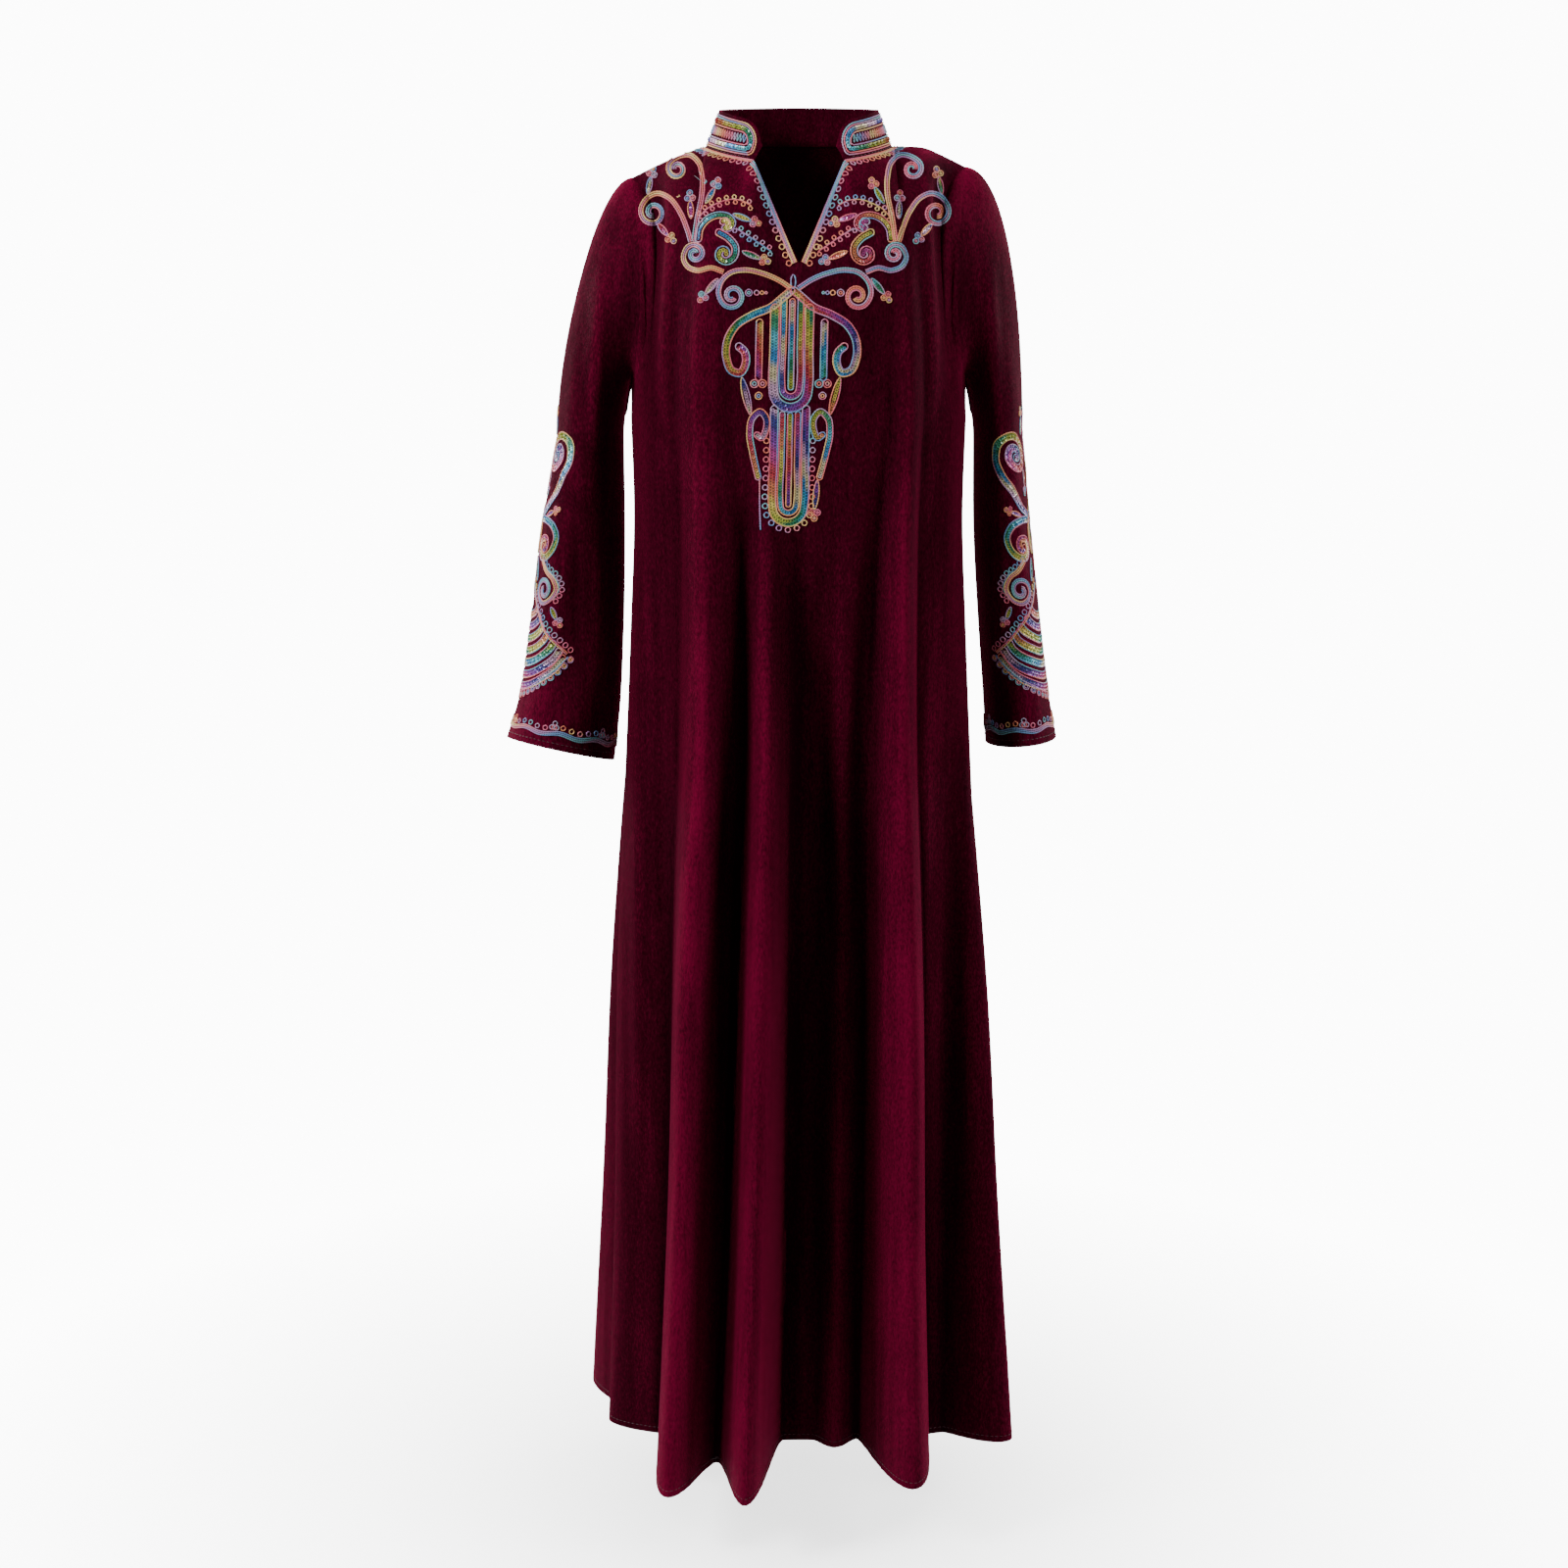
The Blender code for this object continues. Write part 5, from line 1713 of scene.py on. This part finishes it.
def cuff_border(edge_length):
    d = Drawing()
    at = np.linspace(0, edge_length, int(edge_length / STITCH))[:-1]
    waves = round(edge_length / 42)
    height = CUFF_RISE + 1.7 * np.sin(2 * math.pi * waves * at / edge_length)
    for k, aside in enumerate((-2.3, -0.3, 1.7)):
        d.cord(np.stack([at, height + aside], -1), 0.8 + 2.6 * k, CORD * 1.15, closed=True)
    loops = round(edge_length / 10.0)
    for k in range(loops):
        x = edge_length * k / loops
        z = CUFF_RISE + 1.7 * math.sin(2 * math.pi * waves * k / loops)
        d.loop((x, z + 6.6), 2.6, 0.31 * k)
        if k % 6 == 3:
            for dx, dz in ((-2.7, 6.6), (2.7, 6.6), (0, 11.4)):
                d.loop((x + dx, z + dz), 2.5, 0.31 * k + 2)
    return d


MOTIF_TURN = {"sleeve_right": 11.0, "sleeve_left": 32.0}

for name in ("sleeve_right", "sleeve_left"):
    wrap = SleeveWrap(name)
    stitch(name, name, sleeve_motif, lambda drawn: wrap.lay(drawn + (MOTIF_TURN[name], 0)))
    edge_length = run_of(wrap.closed[-1])[-1] * 1000
    stitch(f"{name}_cuff", name, cuff_border(edge_length), wrap.lay_cuff)
    print(name, "cuff is", edge_length.round(), "mm round")

# %% [markdown]
# The hem and the cuffs are turned up and sewn with a thread of the cloth's own colour. Each
# stitch is a short cord, and a second row runs along the collar's foot.

# %% Sewing
HEM_RISE, CUFF_HEM_RISE = 7.0, 7.5      # mm from the edge to the stitches
STITCH_LONG, STITCH_GAP, SEWING_RADIUS = 3.4, 1.9, 0.30


def running_stitch(start, end, rise):
    d = Drawing()
    for at in np.arange(start, end - STITCH_LONG, STITCH_LONG + STITCH_GAP):
        ends = np.array(((at, rise), (at + STITCH_LONG / 2, rise), (at + STITCH_LONG, rise)))
        d.cord(ends, PLAIN, SEWING_RADIUS)
    return d


def lay_on_hem(name):
    grid, tree = grids[name], tree_of(cloth[name])
    edge = run_of(grid[-1]) * 1000
    upward = unit(grid[-3] - grid[-1])
    facing = unit(np.cross(np.gradient(grid[-1], axis=0), upward))
    if (facing[:, :2] * grid[-1][:, :2]).sum() < 0:
        facing = -facing

    def lay(drawn):
        base, up, out = (np.stack([np.interp(drawn[:, 0], edge, values[:, k])
                                   for k in range(3)], -1)
                         for values in (grid[-1], upward, facing))
        return cast_in(tree, base + up * drawn[:, 1:] / 1000, unit(out))

    return lay, edge[-1]


for name in ("front", "back"):
    lay, hem_length = lay_on_hem(name)
    stitch(f"{name}_hem", name, running_stitch(4, hem_length - 4, HEM_RISE), lay)
for name in ("sleeve_right", "sleeve_left"):
    wrap = SleeveWrap(name)
    around = run_of(wrap.closed[-1])[-1] * 1000
    stitch(f"{name}_hem", name, running_stitch(1, around, CUFF_HEM_RISE), wrap.lay_cuff)
stitch("collar_foot", "collar", running_stitch(6, COLLAR_RUN[-1] - 6, 1.6), lay_on_collar)

# %% [markdown]
# Every sheet of cloth prints the size that it was cut to before it was hung. The cut is measured on the
# cloth itself, along its threads.

def cut_size(name, closed=False):
    """Width, length and area of a sheet, measured along its rows and columns."""
    grid = grids[name]
    if closed:
        grid = np.concatenate([grid, grid[:, :1]], axis=1)
    width = np.linalg.norm(np.diff(grid, axis=1), axis=2).sum(axis=1).max()
    length = np.linalg.norm(np.diff(grid, axis=0), axis=2).sum(axis=0).max()
    a, b = grid[1:, 1:] - grid[:-1, :-1], grid[1:, :-1] - grid[:-1, 1:]
    area = np.linalg.norm(np.cross(a, b), axis=2).sum() / 2
    return float(width), float(length), float(area)


for name, piece in cloth.items():
    width, length, area = cut_size(name, closed=name.startswith("sleeve"))
    print(name, "cut", round(width, 3), "by", round(length, 3), "m, area", round(area, 3))
